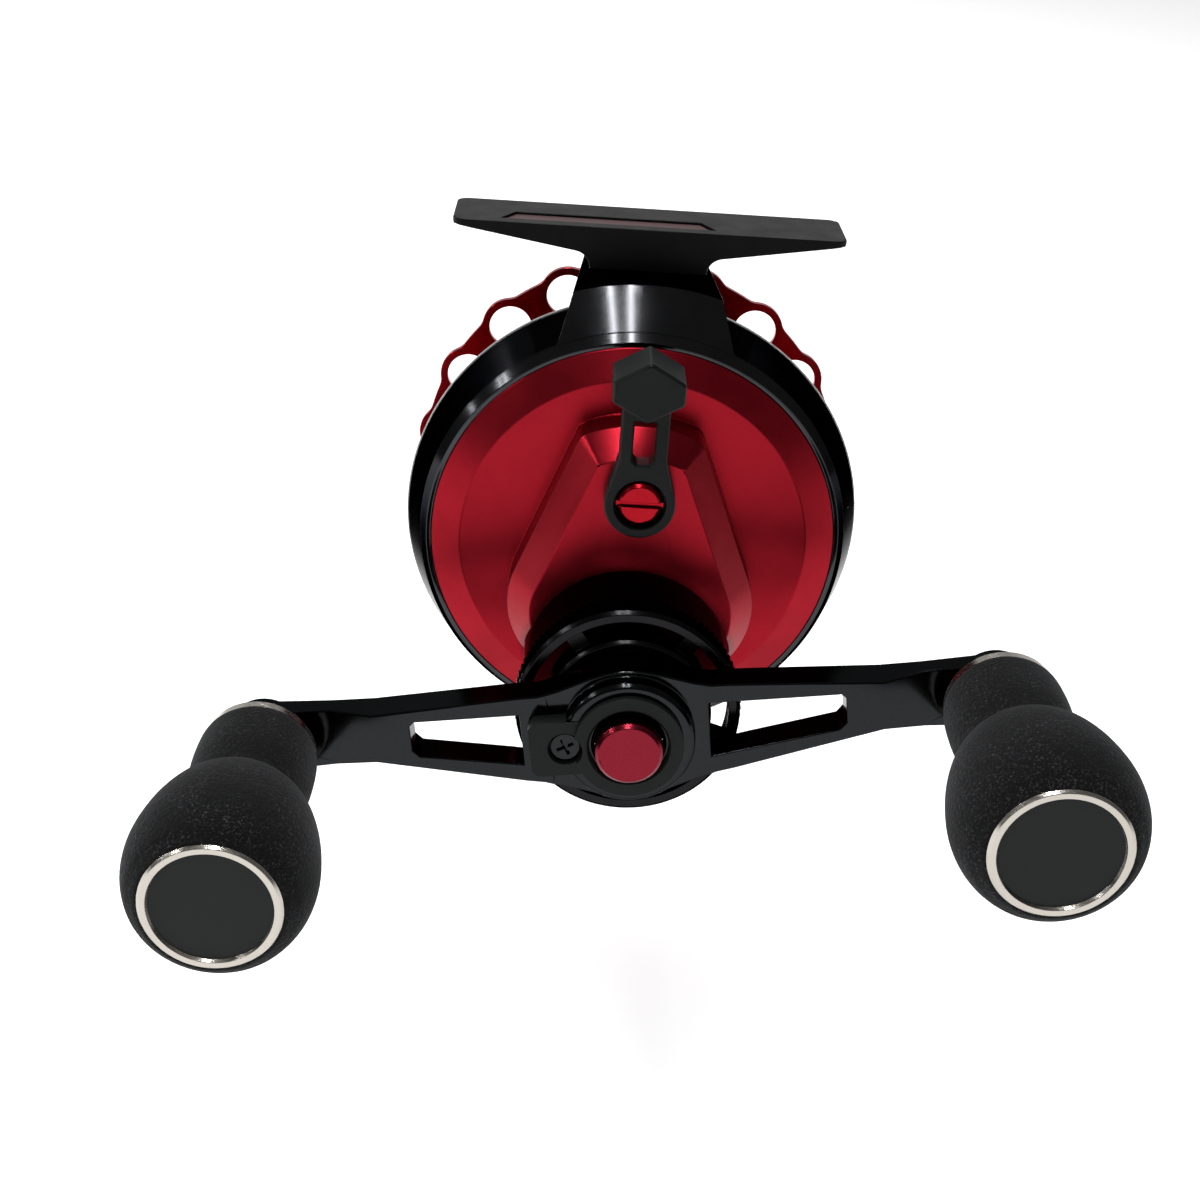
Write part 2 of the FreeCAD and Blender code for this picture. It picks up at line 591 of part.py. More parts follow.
def make_lever_pad():
    """Hexagonal thumb pad standing on the lever's upper end."""
    body = new_body("lever_pad")
    extrude(body, lambda s: outline(s, [
        ("0", "pad_rise + pad_point"), ("pad_half", "pad_rise + pad_side"),
        ("pad_half", "pad_rise - pad_side"), ("0", "pad_rise - pad_point"),
        ("-pad_half", "pad_rise - pad_side"), ("-pad_half", "pad_rise + pad_side")]),
        "pad_back", "pad_front")
    cut(body, lambda s: outline(s, [
        ("-lever_half", "0"), ("lever_half", "0"), ("lever_half", "pad_rise"),
        ("-lever_half", "pad_rise")]), "lever_back", "lever_front")
    dress(body, "Fillet", "0.8", lambda m, e: (
        abs(m.y - (value("pad_back") + value("pad_front")) / 2) < 0.5
        and abs(e.tangentAt(e.FirstParameter).y) > 0.9))
    dress(body, "Chamfer", "0.4", lambda m, e: abs(m.y - value("pad_front")) < 0.01)
    put(body, drop="spool_drop - pivot_rise")
    return keep(body, "lever_pad")


def make_lever_screw():
    """Pivot screw: domed head with a slot, shank down into the cam shaft."""
    body = new_body("lever_screw")
    revolve(body, [
        ("0", "pivot_head_front"), ("pivot_head - 0.9", "pivot_head_front"),
        ("pivot_head", "pivot_head_front + 0.7"), ("pivot_head", "pivot_seat"),
        ("pivot_shank", "pivot_seat"), ("pivot_shank", "cam_front"), ("0", "cam_front")])
    cut(body, lambda s: outline(s, [
        ("-pivot_head - 1", "-0.45"), ("pivot_head + 1", "-0.45"),
        ("pivot_head + 1", "0.45"), ("-pivot_head - 1", "0.45")]),
        "pivot_head_front + 0.8", "pivot_head_front - 1")
    put(body, drop="spool_drop - pivot_rise")
    return keep(body, "lever_screw")


def make_cam():
    """Cam shaft under the lever: a tube through the cover and a lobed plate inside."""
    body = new_body("clutch_cam")
    revolve(body, [
        ("pivot_shank", "lever_back"), ("cam_shaft", "lever_back"), ("cam_shaft", "cam_front"),
        ("cam_radius", "cam_front"), ("cam_radius", "cam_back"), ("0", "cam_back"),
        ("0", "cam_front"), ("pivot_shank", "cam_front")])
    put(body, drop="spool_drop - pivot_rise")
    return keep(body, "clutch_cam")


def make_yoke():
    """Clutch yoke: two eyes on the posts, a fork round the pinion's neck, and a follower."""
    body = new_body("clutch_yoke")
    extrude(body, lambda s: outline(s, [
        ("-post_half_gap", "post_rise - yoke_eye"), ("post_half_gap", "post_rise - yoke_eye"),
        ("post_half_gap", "post_rise + yoke_eye"), ("2.6", "post_rise + yoke_eye + 1.8"),
        ("-2.6", "post_rise + yoke_eye + 1.8"), ("-post_half_gap", "post_rise + yoke_eye")]),
        "yoke_back", "yoke_front")
    for side in ("-", ""):
        extrude(body, lambda s, m=side: circle(s, f"{m}post_half_gap", "post_rise", "yoke_eye"),
                "yoke_back", "yoke_front")
    extrude(body, lambda s: outline(s, [
        ("-fork_outer", "-2.2"), ("fork_outer", "-2.2"), ("fork_outer", "post_rise"),
        ("-fork_outer", "post_rise")]), "yoke_back", "yoke_front")
    cut(body, lambda s: circle(s, "0", "0", "fork_inner"), "yoke_back", "yoke_front")
    cut(body, lambda s: outline(s, [
        ("-fork_inner", "-4"), ("fork_inner", "-4"), ("fork_inner", "0"), ("-fork_inner", "0")]),
        "yoke_back", "yoke_front")
    for side in ("-", ""):
        cut(body, lambda s, m=side: circle(s, f"{m}post_half_gap", "post_rise",
                                           "post_radius + fit_gap"), "yoke_back", "yoke_front")
    extrude(body, lambda s: circle(s, "0", "follower_rise", "follower_radius"),
            "yoke_front + 0.2", "follower_front")
    put(body, drop="spool_drop")
    return keep(body, "clutch_yoke")


def make_posts_and_springs():
    """Two guide posts fixed in the frame's web, each inside a coil spring."""
    posts = []
    for side in ("-", ""):
        post = new_body("yoke_post")
        revolve(post, ring_points("0", "post_radius", "web_back - 0.6", "boss_face + 2.4"))
        put(post, f"{side}post_half_gap", "0", "spool_drop - post_rise")
        posts.append(post)
    keep(join("MultiFuse", "yoke_posts", posts[0], posts[1:]), "yoke_posts")
    v = value
    length = v("spring_back") - v("spring_front") - v("spring_wire")
    coils = []
    for side in (-1, 1):
        helix = Part.makeHelix(v("spring_pitch"), length, v("spring_radius"))
        start = FreeCAD.Vector(v("spring_radius"), 0, 0)
        section = Part.Wire(Part.makeCircle(v("spring_wire") / 2, start,
                                            FreeCAD.Vector(0, 1, 0)))
        coil = Part.Wire(helix).makePipeShell([section], True, True)
        coil.rotate(FreeCAD.Vector(), FreeCAD.Vector(1, 0, 0), 90)
        coil.translate(FreeCAD.Vector(side * v("post_half_gap"),
                                      v("spring_back") - v("spring_wire") / 2,
                                      v("post_rise") - v("spool_drop")))
        coils.append(coil)
    return keep(solid_from("clutch_springs", Part.makeCompound(coils)), "clutch_springs")


# ---------------------------------------------------------------- gears

def tooth_outline(teeth, module, thin):
    """One spur gear outline in the XZ plane: involute flanks of 20 degrees."""
    pressure = math.radians(20)
    pitch = module * teeth / 2
    base = pitch * math.cos(pressure)
    tip = pitch + module
    root = pitch - 1.25 * module
    flank_start = max(base, root)
    half_pitch = math.pi / (2 * teeth) - thin / (2 * pitch)
    involute = math.tan(pressure) - pressure

    def flank(radius):
        angle = math.acos(min(base / radius, 1.0))
        return half_pitch + involute - (math.tan(angle) - angle)

    def at(radius, angle):
        return FreeCAD.Vector(radius * math.sin(angle), 0, radius * math.cos(angle))

    radii = [flank_start + (tip - flank_start) * k / 4 for k in range(5)]
    edges = []
    for tooth in range(int(teeth)):
        centre = 2 * math.pi * tooth / teeth
        following = centre + 2 * math.pi / teeth
        rising = [at(r, centre - flank(r)) for r in radii]
        falling = [at(r, centre + flank(r)) for r in reversed(radii)]
        foot_left = at(root, centre - flank(flank_start))
        foot_right = at(root, centre + flank(flank_start))
        next_foot = at(root, following - flank(flank_start))
        if flank_start > root:
            edges.append(Part.LineSegment(foot_left, rising[0]).toShape())
        edges.append(spline_edge(rising))
        edges.append(Part.Arc(rising[-1], at(tip, centre), falling[0]).toShape())
        edges.append(spline_edge(falling))
        if flank_start > root:
            edges.append(Part.LineSegment(falling[-1], foot_right).toShape())
        between = at(root, (2 * centre + 2 * math.pi / teeth) / 2)
        edges.append(Part.Arc(foot_right if flank_start > root else falling[-1],
                              between, next_foot).toShape())
    return Part.Wire(Part.sortEdges(edges)[0])


def spline_edge(points):
    curve = Part.BSplineCurve()
    curve.interpolate(points)
    return curve.toShape()


def gear_solid(teeth, back, front):
    """Extruded spur gear along Y with one tooth straight up.

    Straight up, the drive gear shows the pinion a tooth; straight down, the pinion's odd
    tooth count shows the gear a gap, so the pair meshes as built.
    """
    wire = tooth_outline(teeth, value("gear_module"), value("backlash"))
    solid = Part.Face(wire).extrude(FreeCAD.Vector(0, front - back, 0))
    solid.translate(FreeCAD.Vector(0, back, 0))
    return solid


def make_pinion():
    """Pinion that slides on the spool shaft: teeth, neck for the yoke, slotted collar."""
    v = value
    gap = v("fit_gap")
    shape = gear_solid(v("pinion_teeth"), v("pinion_back"), v("pinion_front"))
    shape = shape.fuse(disc(v("pinion_neck"), v("pinion_front"), v("pinion_collar_back")))
    shape = shape.fuse(disc(v("pinion_collar"), v("pinion_collar_back"), v("pinion_end")))
    shape = shape.cut(disc(v("shaft_radius") + gap, v("pinion_back") + 1,
                           v("pinion_end") - 1))
    width = v("pinion_slot")
    slot = Part.makeBox(20, v("pinion_slot_end") - v("pinion_end") + 1, width,
                        FreeCAD.Vector(-10, v("pinion_end") - 1, -width / 2))
    shape = shape.cut(slot)
    item = solid_from("pinion", shape)
    item.Placement = FreeCAD.Placement(FreeCAD.Vector(0, 0, -v("spool_drop")),
                                       FreeCAD.Rotation())
    return keep(item, "pinion")


def make_drive_gear():
    """Drive gear on the drag stack; one tooth points straight up at the pinion."""
    v = value
    shape = gear_solid(v("gear_teeth"), v("gear_back"), v("gear_front"))
    shape = shape.cut(disc(v("drive_radius") + v("fit_gap"), v("gear_back") + 1,
                           v("gear_front") - 1))
    for k in range(6):
        angle = math.radians(60 * k + 30)
        shape = shape.cut(disc(1.3, v("gear_back") + 1, v("gear_front") - 1,
                               10.9 * math.cos(angle), 10.9 * math.sin(angle)))
    item = solid_from("drive_gear", shape)
    item.Placement = FreeCAD.Placement(FreeCAD.Vector(0, 0, -v("drive_drop")),
                                       FreeCAD.Rotation())
    return keep(item, "drive_gear")


# ---------------------------------------------------------------- spool

def make_spool():
    """Side drum: ported far flange with a scalloped edge, arbor, plain near flange, hub."""
    body = new_body("spool")
    revolve(body, [
        ("shaft_radius", "spool_hub_front"), ("spool_hub", "spool_hub_front"),
        ("spool_hub", "spool_face"), ("arbor_radius - arbor_wall", "spool_face"),
        ("arbor_radius - arbor_wall", "near_flange_front"),
        ("near_flange_radius - 0.4", "near_flange_front"),
        ("near_flange_radius", "near_flange_front + 0.4"),
        ("near_flange_radius", "near_flange_back - 0.4"),
        ("near_flange_radius - 0.4", "near_flange_back"),
        ("arbor_radius + 0.8", "near_flange_back"), ("arbor_radius", "near_flange_back + 0.8"),
        ("arbor_radius", "spool_face - 0.8"), ("arbor_radius + 0.8", "spool_face"),
        ("spool_root", "spool_face"), ("spool_root", "spool_back"),
        ("shaft_radius", "spool_back")])
    lobe = extrude(body, lambda s: circle(s, "0", "port_circle", "port_radius + port_wall"),
                   "spool_back", "spool_face")
    pattern(body, lobe, "port_count")
    dress(body, "Fillet", "scallop_fillet", lambda m, e: (
        isinstance(e.Curve, Part.Line) and abs(e.tangentAt(e.FirstParameter).y) > 0.9
        and math.hypot(m.x, m.z) > value("port_circle") and m.y > value("spool_face")))
    port = cut(body, lambda s: circle(s, "0", "port_circle", "port_radius"), "spool_back",
               "spool_face")
    pattern(body, port, "port_count")
    light = cut(body, lambda s: circle(s, "0", "lightening_circle", "lightening_radius"),
                "spool_back", "spool_face")
    pattern(body, light, "8")
    turn_about_axis(body, "spool_drop", "port_turn")
    return keep(body, "spool")


def make_spool_shaft_group():
    """Shaft, its cross pin, the washer and the nut that hold the drum."""
    shaft = new_body("spool_shaft")
    revolve(shaft, [
        ("0", "shaft_back"), ("shaft_radius - 0.4", "shaft_back"),
        ("shaft_radius", "shaft_back - 0.4"), ("shaft_radius", "shaft_front + 0.3"),
        ("shaft_radius - 0.3", "shaft_front"), ("0", "shaft_front")])
    drill = new_sketch(shaft, "YZ_Plane", "-pin_half - 1")
    circle(drill, "pin_depth", "0", "pin_radius")
    hole = shaft.newObject("PartDesign::Pocket", "pin_hole")
    hole.Profile = drill
    hole.Reversed = True
    bind(hole, "Length", "pin_half * 2 + 2")
    put(shaft, drop="spool_drop")
    keep(shaft, "spool_shaft")
    pin = new_body("cross_pin")
    sketch = new_sketch(pin, "YZ_Plane", "-pin_half")
    circle(sketch, "pin_depth", "0", "pin_radius")
    rod = pin.newObject("PartDesign::Pad", "pin_rod")
    rod.Profile = sketch
    bind(rod, "Length", "pin_half * 2")
    put(pin, drop="spool_drop")
    keep(pin, "cross_pin")
    turned("spool_washer", ring_points("shaft_radius", "nut_radius", "spool_back + 0.6",
                                       "spool_back"))
    nut = new_body("spool_nut")
    revolve(nut, [
        ("shaft_radius", "spool_back + 0.6"), ("nut_radius", "spool_back + 0.6"),
        ("nut_radius", "nut_end - 0.5"), ("nut_radius - 0.5", "nut_end"), ("0", "nut_end"),
        ("0", "shaft_back"), ("shaft_radius", "shaft_back")])
    for k in range(6):
        cut(nut, lambda s, a=60 * k: circle(s, f"(nut_radius + 0.9) * cos({a}deg)",
                                            f"(nut_radius + 0.9) * sin({a}deg)", "1.6"),
            "nut_end + 0.1", "spool_back + 0.6")
    put(nut, drop="spool_drop")
    keep(nut, "spool_nut")


def make_bearings():
    """Plain rings for the purchased bearings, each with a running gap on its shaft."""
    inner = "shaft_radius + fit_gap"
    turned("spool_bearing_rear", ring_points(inner, "race_radius",
                                             "rear_race_front + race_width",
                                             "rear_race_front"))
    turned("spool_bearing_front", ring_points(inner, "race_radius",
                                              "front_race_front + race_width",
                                              "front_race_front"))
    turned("drive_bush", ring_points("drive_radius + fit_gap", "drive_bush_radius",
                                     "drive_bush_back", "web_boss_end"), drop="drive_drop")
    turned("one_way_bearing", ring_points("sleeve_radius + fit_gap", "clutch_race",
                                          "clutch_race_back", "clutch_race_front"),
           drop="drive_drop")
    turned("lever_bush", ring_points("cam_shaft + fit_gap", "bush_radius",
                                     "boss_face + cover_wall", "boss_face"),
           drop="spool_drop - pivot_rise")


# ---------------------------------------------------------------- drive and drag

def make_drive_stack():
    """Drive shaft with its flange, drag washers, pressure plate, sleeve, spring washers."""
    turned("drive_shaft", [
        ("0", "drive_back"), ("drive_radius", "drive_back"), ("drive_radius", "flange_back"),
        ("drag_radius", "flange_back"), ("drag_radius", "flange_front"),
        ("drive_radius", "flange_front"), ("drive_radius", "drive_front + 0.4"),
        ("drive_radius - 0.4", "drive_front"), ("0", "drive_front")], drop="drive_drop")
    inner = "drive_radius + 0.1"
    washers = []
    for back, front in (("flange_front", "gear_back"), ("gear_front", "plate_back")):
        washer = new_body("drag_washer")
        revolve(washer, ring_points(inner, "drag_radius", back, front))
        put(washer, drop="drive_drop")
        washers.append(washer)
    keep(join("MultiFuse", "drag_washers", washers[0], washers[1:]), "drag_washers")
    turned("pressure_plate", ring_points(inner, "drag_radius", "plate_back", "plate_front"),
           drop="drive_drop")
    turned("drive_sleeve", ring_points(inner, "sleeve_radius", "plate_front", "sleeve_front"),
           drop="drive_drop")
    discs = []
    for back, front, flip in (("sleeve_front", "sleeve_front - 0.9", 1),
                              ("sleeve_front - 0.9", "wheel_back", 0)):
        near, far = ("0.35", "0") if flip else ("0", "0.35")
        spring = new_body("spring_disc")
        revolve(spring, [
            (inner, f"{back} - {near}"), ("spring_washer", f"{back} - {far}"),
            ("spring_washer", f"{front} + {near}"), (inner, f"{front} + {far}")])
        put(spring, drop="drive_drop")
        discs.append(spring)
    keep(join("MultiFuse", "drag_springs", discs[0], discs[1:]), "drag_springs")


def make_drag_wheel():
    """Ring drag: hub on the shaft, five narrow spokes, thin knurled rim."""
    body = new_body("drag_wheel")
    revolve(body, [
        ("drive_radius + 0.05", "wheel_back"), ("8", "wheel_back"), ("8", "wheel_hub_back"),
        ("wheel_hub", "wheel_hub_back"), ("wheel_hub", "wheel_hub_front + 0.5"),
        ("wheel_hub - 0.5", "wheel_hub_front"), ("drive_radius + 0.05", "wheel_hub_front")])
    spoke = extrude(body, lambda s: outline(s, [
        ("-spoke_half", "1 - wheel_hub"), ("spoke_half", "1 - wheel_hub"),
        ("spoke_half", "-wheel_rim_inner - 0.4"), ("-spoke_half", "-wheel_rim_inner - 0.4")]),
        "wheel_rim_back - 0.6", "wheel_rim_front + 0.8")
    pattern(body, spoke, "5")
    rim = new_sketch(body, "XY_Plane")
    outline(rim, [
        ("wheel_rim_inner", "wheel_rim_back"), ("wheel_rim - 0.5", "wheel_rim_back"),
        ("wheel_rim", "wheel_rim_back - 0.5"), ("wheel_rim", "wheel_rim_front + 0.6"),
        ("wheel_rim - 0.6", "wheel_rim_front"), ("wheel_rim_inner", "wheel_rim_front")])
    ring = body.newObject("PartDesign::Revolution", "rim_turn")
    ring.Profile = rim
    ring.ReferenceAxis = (rim, ["V_Axis"])
    ring.Angle = 360.0
    put(body, drop="drive_drop")
    return keep(body, "drag_wheel")


# ---------------------------------------------------------------- handle

def turn_to_rest(item):
    """Stand a handle piece on the drive axis at the handle's rest angle."""
    turn_about_axis(item, "drive_drop", "rest_angle")


def make_handle_arm():
    """Double arm: front-view outline with two windows, swept back towards its ends."""
    upper = [("-knob_offset", "pad_flare + 0.6"), ("-pad_start", "pad_flare"),
             ("-arm_bend", "arm_tip_half")]
    for turn in range(-90, 91, 15):
        # a smooth bell of extra width round the hub
        upper.append((f"arm_root * {turn} / 90", "arm_root_half + (hub_blend - arm_root_half)"
                                                 f" * cos({turn}deg) * cos({turn}deg)"))
    upper += [("arm_bend", "arm_tip_half"), ("pad_start", "pad_flare"),
              ("knob_offset", "pad_flare + 0.6")]
    lower = [(x, f"-({z})") for x, z in reversed(upper)]
    face = new_body("arm_face")
    extrude(face, lambda s: outline(s, upper + lower), "arm_pad_back + 8", "arm_hub_front - 2")
    for side in ("-", ""):
        extrude(face, lambda s, m=side: circle(s, f"{m}knob_offset", "0", "arm_pad_radius"),
                "arm_pad_back + 8", "arm_hub_front - 2")
    for side, near in (("-", "window_left"), ("", "window_near")):
        slope = "(window_near_half - window_far_half) / (window_far - window_near)"
        near_half = f"(window_far_half + (window_far - {near}) * {slope})"
        cut(face, lambda s, m=side, n=near, h=near_half: outline(s, [
            (f"{m}{n}", f"-{h}"), (f"{m}(window_far - 1.2)", "-window_far_half"),
            (f"{m}window_far", "-window_far_half + 1.2"),
            (f"{m}window_far", "window_far_half - 0.9"),
            (f"{m}(window_far - 0.9)", "window_far_half"), (f"{m}{n}", h)]),
            "arm_pad_back + 9", "arm_hub_front - 3")
    turn_to_rest(face)

    plan = new_body("arm_plan")
    sketch = new_sketch(plan, "XY_Plane", "-20")
    right = [("arm_root - 4", "arm_front"), ("arm_bend", "arm_bend_front"),
             ("pad_start", "arm_pad_front"), ("knob_offset + 10", "arm_pad_front"),
             ("knob_offset + 10", "arm_pad_back"), ("pad_start", "arm_pad_back"),
             ("arm_bend", "arm_bend_back"), ("arm_step", "arm_step_back"),
             ("wheel_hub + 0.5", "arm_hub_back")]
    outline(sketch, right + [(f"-({x})", y) for x, y in reversed(right)])
    band = plan.newObject("PartDesign::Pad", "arm_band")
    band.Profile = sketch
    band.Length = 40.0
    turn_to_rest(plan)

    hub = new_body("arm_hub_disc")
    revolve(hub, [
        ("drive_radius", "arm_hub_back"), ("arm_hub", "arm_hub_back"),
        ("arm_hub", "arm_hub_front + 0.6"), ("arm_hub - 0.6", "arm_hub_front"),
        ("nut_pocket", "arm_hub_front"), ("nut_pocket", "nut_back"),
        ("drive_radius", "nut_back")])
    turn_to_rest(hub)

    bores = [turned_tool("drive_radius", "arm_hub_back + 1", "nut_back - 1", "0"),
             turned_tool("nut_pocket", "nut_back", "arm_hub_front - 1", "0"),
             turned_tool("lobe_screw * 0.5", "arm_front + 3", "arm_hub_front - 1",
                         "-lobe_offset"),
             turned_tool("tab_cup + 0.05", "arm_front", "arm_hub_front - 1", "-lobe_offset")]
    for side in ("-", ""):
        bores.append(turned_tool("axle_radius", "arm_pad_back + 4", "arm_pad_front - 1",
                                 f"{side}knob_offset"))
    slab = join("Common", "arm_slab", face, [plan])
    whole = join("MultiFuse", "arm_blank", slab, [hub])
    return keep(join("Cut", "handle_arm", whole, bores), "handle_arm")


def turned_tool(radius, back, front, along):
    """Cylinder along Y at a distance along the handle, used to bore it."""
    tool = new_body("arm_bore")
    extrude(tool, lambda s: circle(s, along, "0", radius), back, front)
    turn_to_rest(tool)
    return tool


def make_handle_fastening():
    """Nut, retainer with its screw lobe, retainer screw and the cap over the nut."""
    nut = new_body("handle_nut")
    extrude(nut, lambda s: outline(s, [
        (f"(nut_pocket - 0.3) * cos({60 * k}deg)", f"(nut_pocket - 0.3) * sin({60 * k}deg)")
        for k in range(6)]), "nut_back", "drive_front")
    cut(nut, lambda s: circle(s, "0", "0", "drive_radius"), "nut_back", "drive_front")
    turn_to_rest(nut)
    keep(nut, "handle_nut")

    plate = new_body("handle_retainer")
    extrude(plate, lambda s: circle(s, "0", "0", "retainer_radius"), "arm_hub_front",
            "retainer_front")
    extrude(plate, lambda s: outline(s, [
        ("0", "-tab_half"), ("0", "tab_half"), ("1 - tab_reach", "tab_half"),
        ("-tab_reach", "tab_half - 1"), ("-tab_reach", "1 - tab_half"),
        ("1 - tab_reach", "-tab_half")]), "arm_front", "tab_front")
    cut(plate, lambda s: circle(s, "0", "0", "arm_hub + 0.05"), "arm_front + 1",
        "arm_hub_front")
    extrude(plate, lambda s: circle(s, "-lobe_offset", "0", "tab_cup"), "arm_front",
            "tab_front")
    cut(plate, lambda s: circle(s, "0", "0", "cap_recess"), "arm_front + 1",
        "retainer_front")
    cut(plate, lambda s: circle(s, "-lobe_offset", "0", "lobe_screw * 0.5"), "arm_front",
        "retainer_front")
    cut(plate, lambda s: circle(s, "-lobe_offset", "0", "tab_recess"), "tab_seat",
        "retainer_front")
    dress(plate, "Chamfer", "0.35", lambda m, e: (
        abs(m.y - value("retainer_front")) < 0.01
        and abs(math.hypot(m.x, m.z) - value("cap_recess")) < 0.05))
    turn_to_rest(plate)
    keep(plate, "handle_retainer")

    screw = new_body("retainer_screw")
    extrude(screw, lambda s: circle(s, "-lobe_offset", "0", "lobe_screw"),
            "tab_seat", "tab_seat - 1.2")
    extrude(screw, lambda s: circle(s, "-lobe_offset", "0", "lobe_screw * 0.5"),
            "arm_front + 2.4", "tab_seat - 0.4")
    for angle in (20, 110):
        cut(screw, lambda s, a=angle: outline(s, [
            (f"-lobe_offset + {sx} * cos({a}deg) - {sy} * sin({a}deg)",
             f"{sx} * sin({a}deg) + {sy} * cos({a}deg)")
            for sx, sy in ((-1.5, -0.3), (1.5, -0.3), (1.5, 0.3), (-1.5, 0.3))]),
            "tab_seat - 0.5", "tab_seat - 1.5")
    turn_to_rest(screw)
    keep(screw, "retainer_screw")

    cap = new_body("nut_cap")
    revolve(cap, [
        ("0", "drive_front"), ("cap_radius", "drive_front"),
        ("cap_radius", "cap_front + 0.6"), ("cap_radius - 0.6", "cap_front"),
        ("0", "cap_front")])
    turn_to_rest(cap)
    keep(cap, "nut_cap")


def knob_place(item, side):
    """Stand a turned knob piece on its axle at the handle's rest angle."""
    put(item, f"{side}knob_offset * cos(rest_angle * 1deg)", "0",
        f"drive_drop - ({side}knob_offset * sin(rest_angle * 1deg))")


GRIP_PROFILE = [
    # (radius, share of the grip's length from its handle end): neck, waist, ball
    (9.3, 0.0), (9.75, 0.012), (9.95, 0.054), (10.0, 0.15), (9.75, 0.24), (9.2, 0.31),
    (8.8, 0.355), (9.3, 0.378), (10.6, 0.42), (12.3, 0.495), (13.7, 0.60), (14.5, 0.706),
    (14.75, 0.793), (14.3, 0.875), (13.1, 0.946), (11.9, 0.984), (11.2, 1.0)]


def make_knob(side, name):
    """One knob: foam grip over a plastic core on two bearings, with a ringed end cap."""
    def piece(label, points):
        body = new_body(label)
        revolve(body, points)
        knob_place(body, side)
        return body

    length = "(grip_back - grip_end)"
    skin = [(str(r), f"grip_back - {share} * {length}") for r, share in GRIP_PROFILE]
    keep(piece(f"knob_grip_{name}", skin + [
        ("cap_ring + 0.05", "grip_end"), ("cap_ring + 0.05", "cap_back"),
        ("core_radius", "cap_back"), ("core_radius", "grip_back")]), f"knob_grip_{name}")
    keep(piece(f"knob_core_{name}", ring_points(
        "core_bore", "core_radius", "core_back", "core_front")), f"knob_core_{name}")
    races = [piece("knob_race", ring_points(
        "axle_radius + fit_gap", "core_bore", back, f"{back} - knob_race_width"))
        for back in ("core_back - 2", "core_back - 2 - knob_race_gap")]
    keep(join("MultiFuse", f"knob_bearings_{name}", races[0], races[1:]),
         f"knob_bearings_{name}")
    keep(piece(f"knob_ring_{name}", [
        ("cap_ring_inner", "cap_back"), ("cap_ring", "cap_back"),
        ("cap_ring", "cap_ring_front + 0.5"), ("cap_ring - 0.5", "cap_ring_front"),
        ("cap_ring_inner + 0.3", "cap_ring_front"), ("cap_ring_inner", "cap_disc_front")]),
        f"knob_ring_{name}")
    keep(piece(f"knob_cap_{name}", ring_points(
        "0", "cap_ring_inner", "cap_back", "cap_disc_front")), f"knob_cap_{name}")
    keep(piece(f"knob_axle_{name}", [
        ("0", "axle_back"), ("axle_head", "axle_back"),
        ("axle_head", "arm_pad_back"),
        ("axle_radius", "arm_pad_back"),
        ("axle_radius", "core_back - 2 - knob_race_gap - knob_race_width - 0.4"),
        ("0", "core_back - 2 - knob_race_gap - knob_race_width - 0.4")]), f"knob_axle_{name}")
    keep(piece(f"knob_collar_{name}", [
        ("axle_radius", "arm_pad_front"), ("collar_knob", "arm_pad_front"),
        ("collar_knob", "plate_knob_back"), ("collar_plate", "plate_knob_back"),
        ("collar_plate", "collar_front"), ("axle_radius", "collar_front")]),
        f"knob_collar_{name}")
    keep(piece(f"axle_screw_{name}", [
        ("0", "core_back - 2.4 - knob_race_gap - knob_race_width"),
        ("3.6", "core_back - 2.4 - knob_race_gap - knob_race_width"),
        ("3.6", "core_back - 4 - knob_race_gap - knob_race_width"),
        ("0", "core_back - 4 - knob_race_gap - knob_race_width")]), f"axle_screw_{name}")


# ---------------------------------------------------------------- build, check, write

def check_document():
    """Stop on any failed object, and on a piece with no valid solid."""
    doc.recompute()
    for item in doc.Objects:
        if "Invalid" in item.State or "Error" in item.State:
            raise RuntimeError(f"{item.Name} failed: {item.State}")
    for item in SUB_PARTS:
        shape = item.Shape
        if shape.isNull() or not shape.isValid() or not shape.Solids:
            raise RuntimeError(f"{item.Label} has no valid solid")


def write_parts():
    os.makedirs("parts", exist_ok=True)
    for item in SUB_PARTS:
        item.Shape.exportStep(f"parts/{item.Label}.step")
        print(f"{item.Label:22s} {item.Shape.Volume:10.1f} mm3, solids {len(item.Shape.Solids)}")


def main():
    fill_sheet()
    make_foot()
    make_frame()
    make_foot_screws()
    make_bezel()
    make_cover()
    make_cover_screws()
    make_lever()
    make_lever_pad()
    make_lever_screw()
    make_cam()
    make_yoke()
    make_posts_and_springs()
    make_pinion()
    make_drive_gear()
    make_spool()
    make_spool_shaft_group()
    make_bearings()
    make_drive_stack()
    make_drag_wheel()
    make_handle_arm()
    make_handle_fastening()
    for side, name in (("-", "left"), ("", "right")):
        make_knob(side, name)
    check_document()
    write_parts()


main()
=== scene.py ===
import json
import math

import bmesh
import bpy
from mathutils import Matrix, Vector


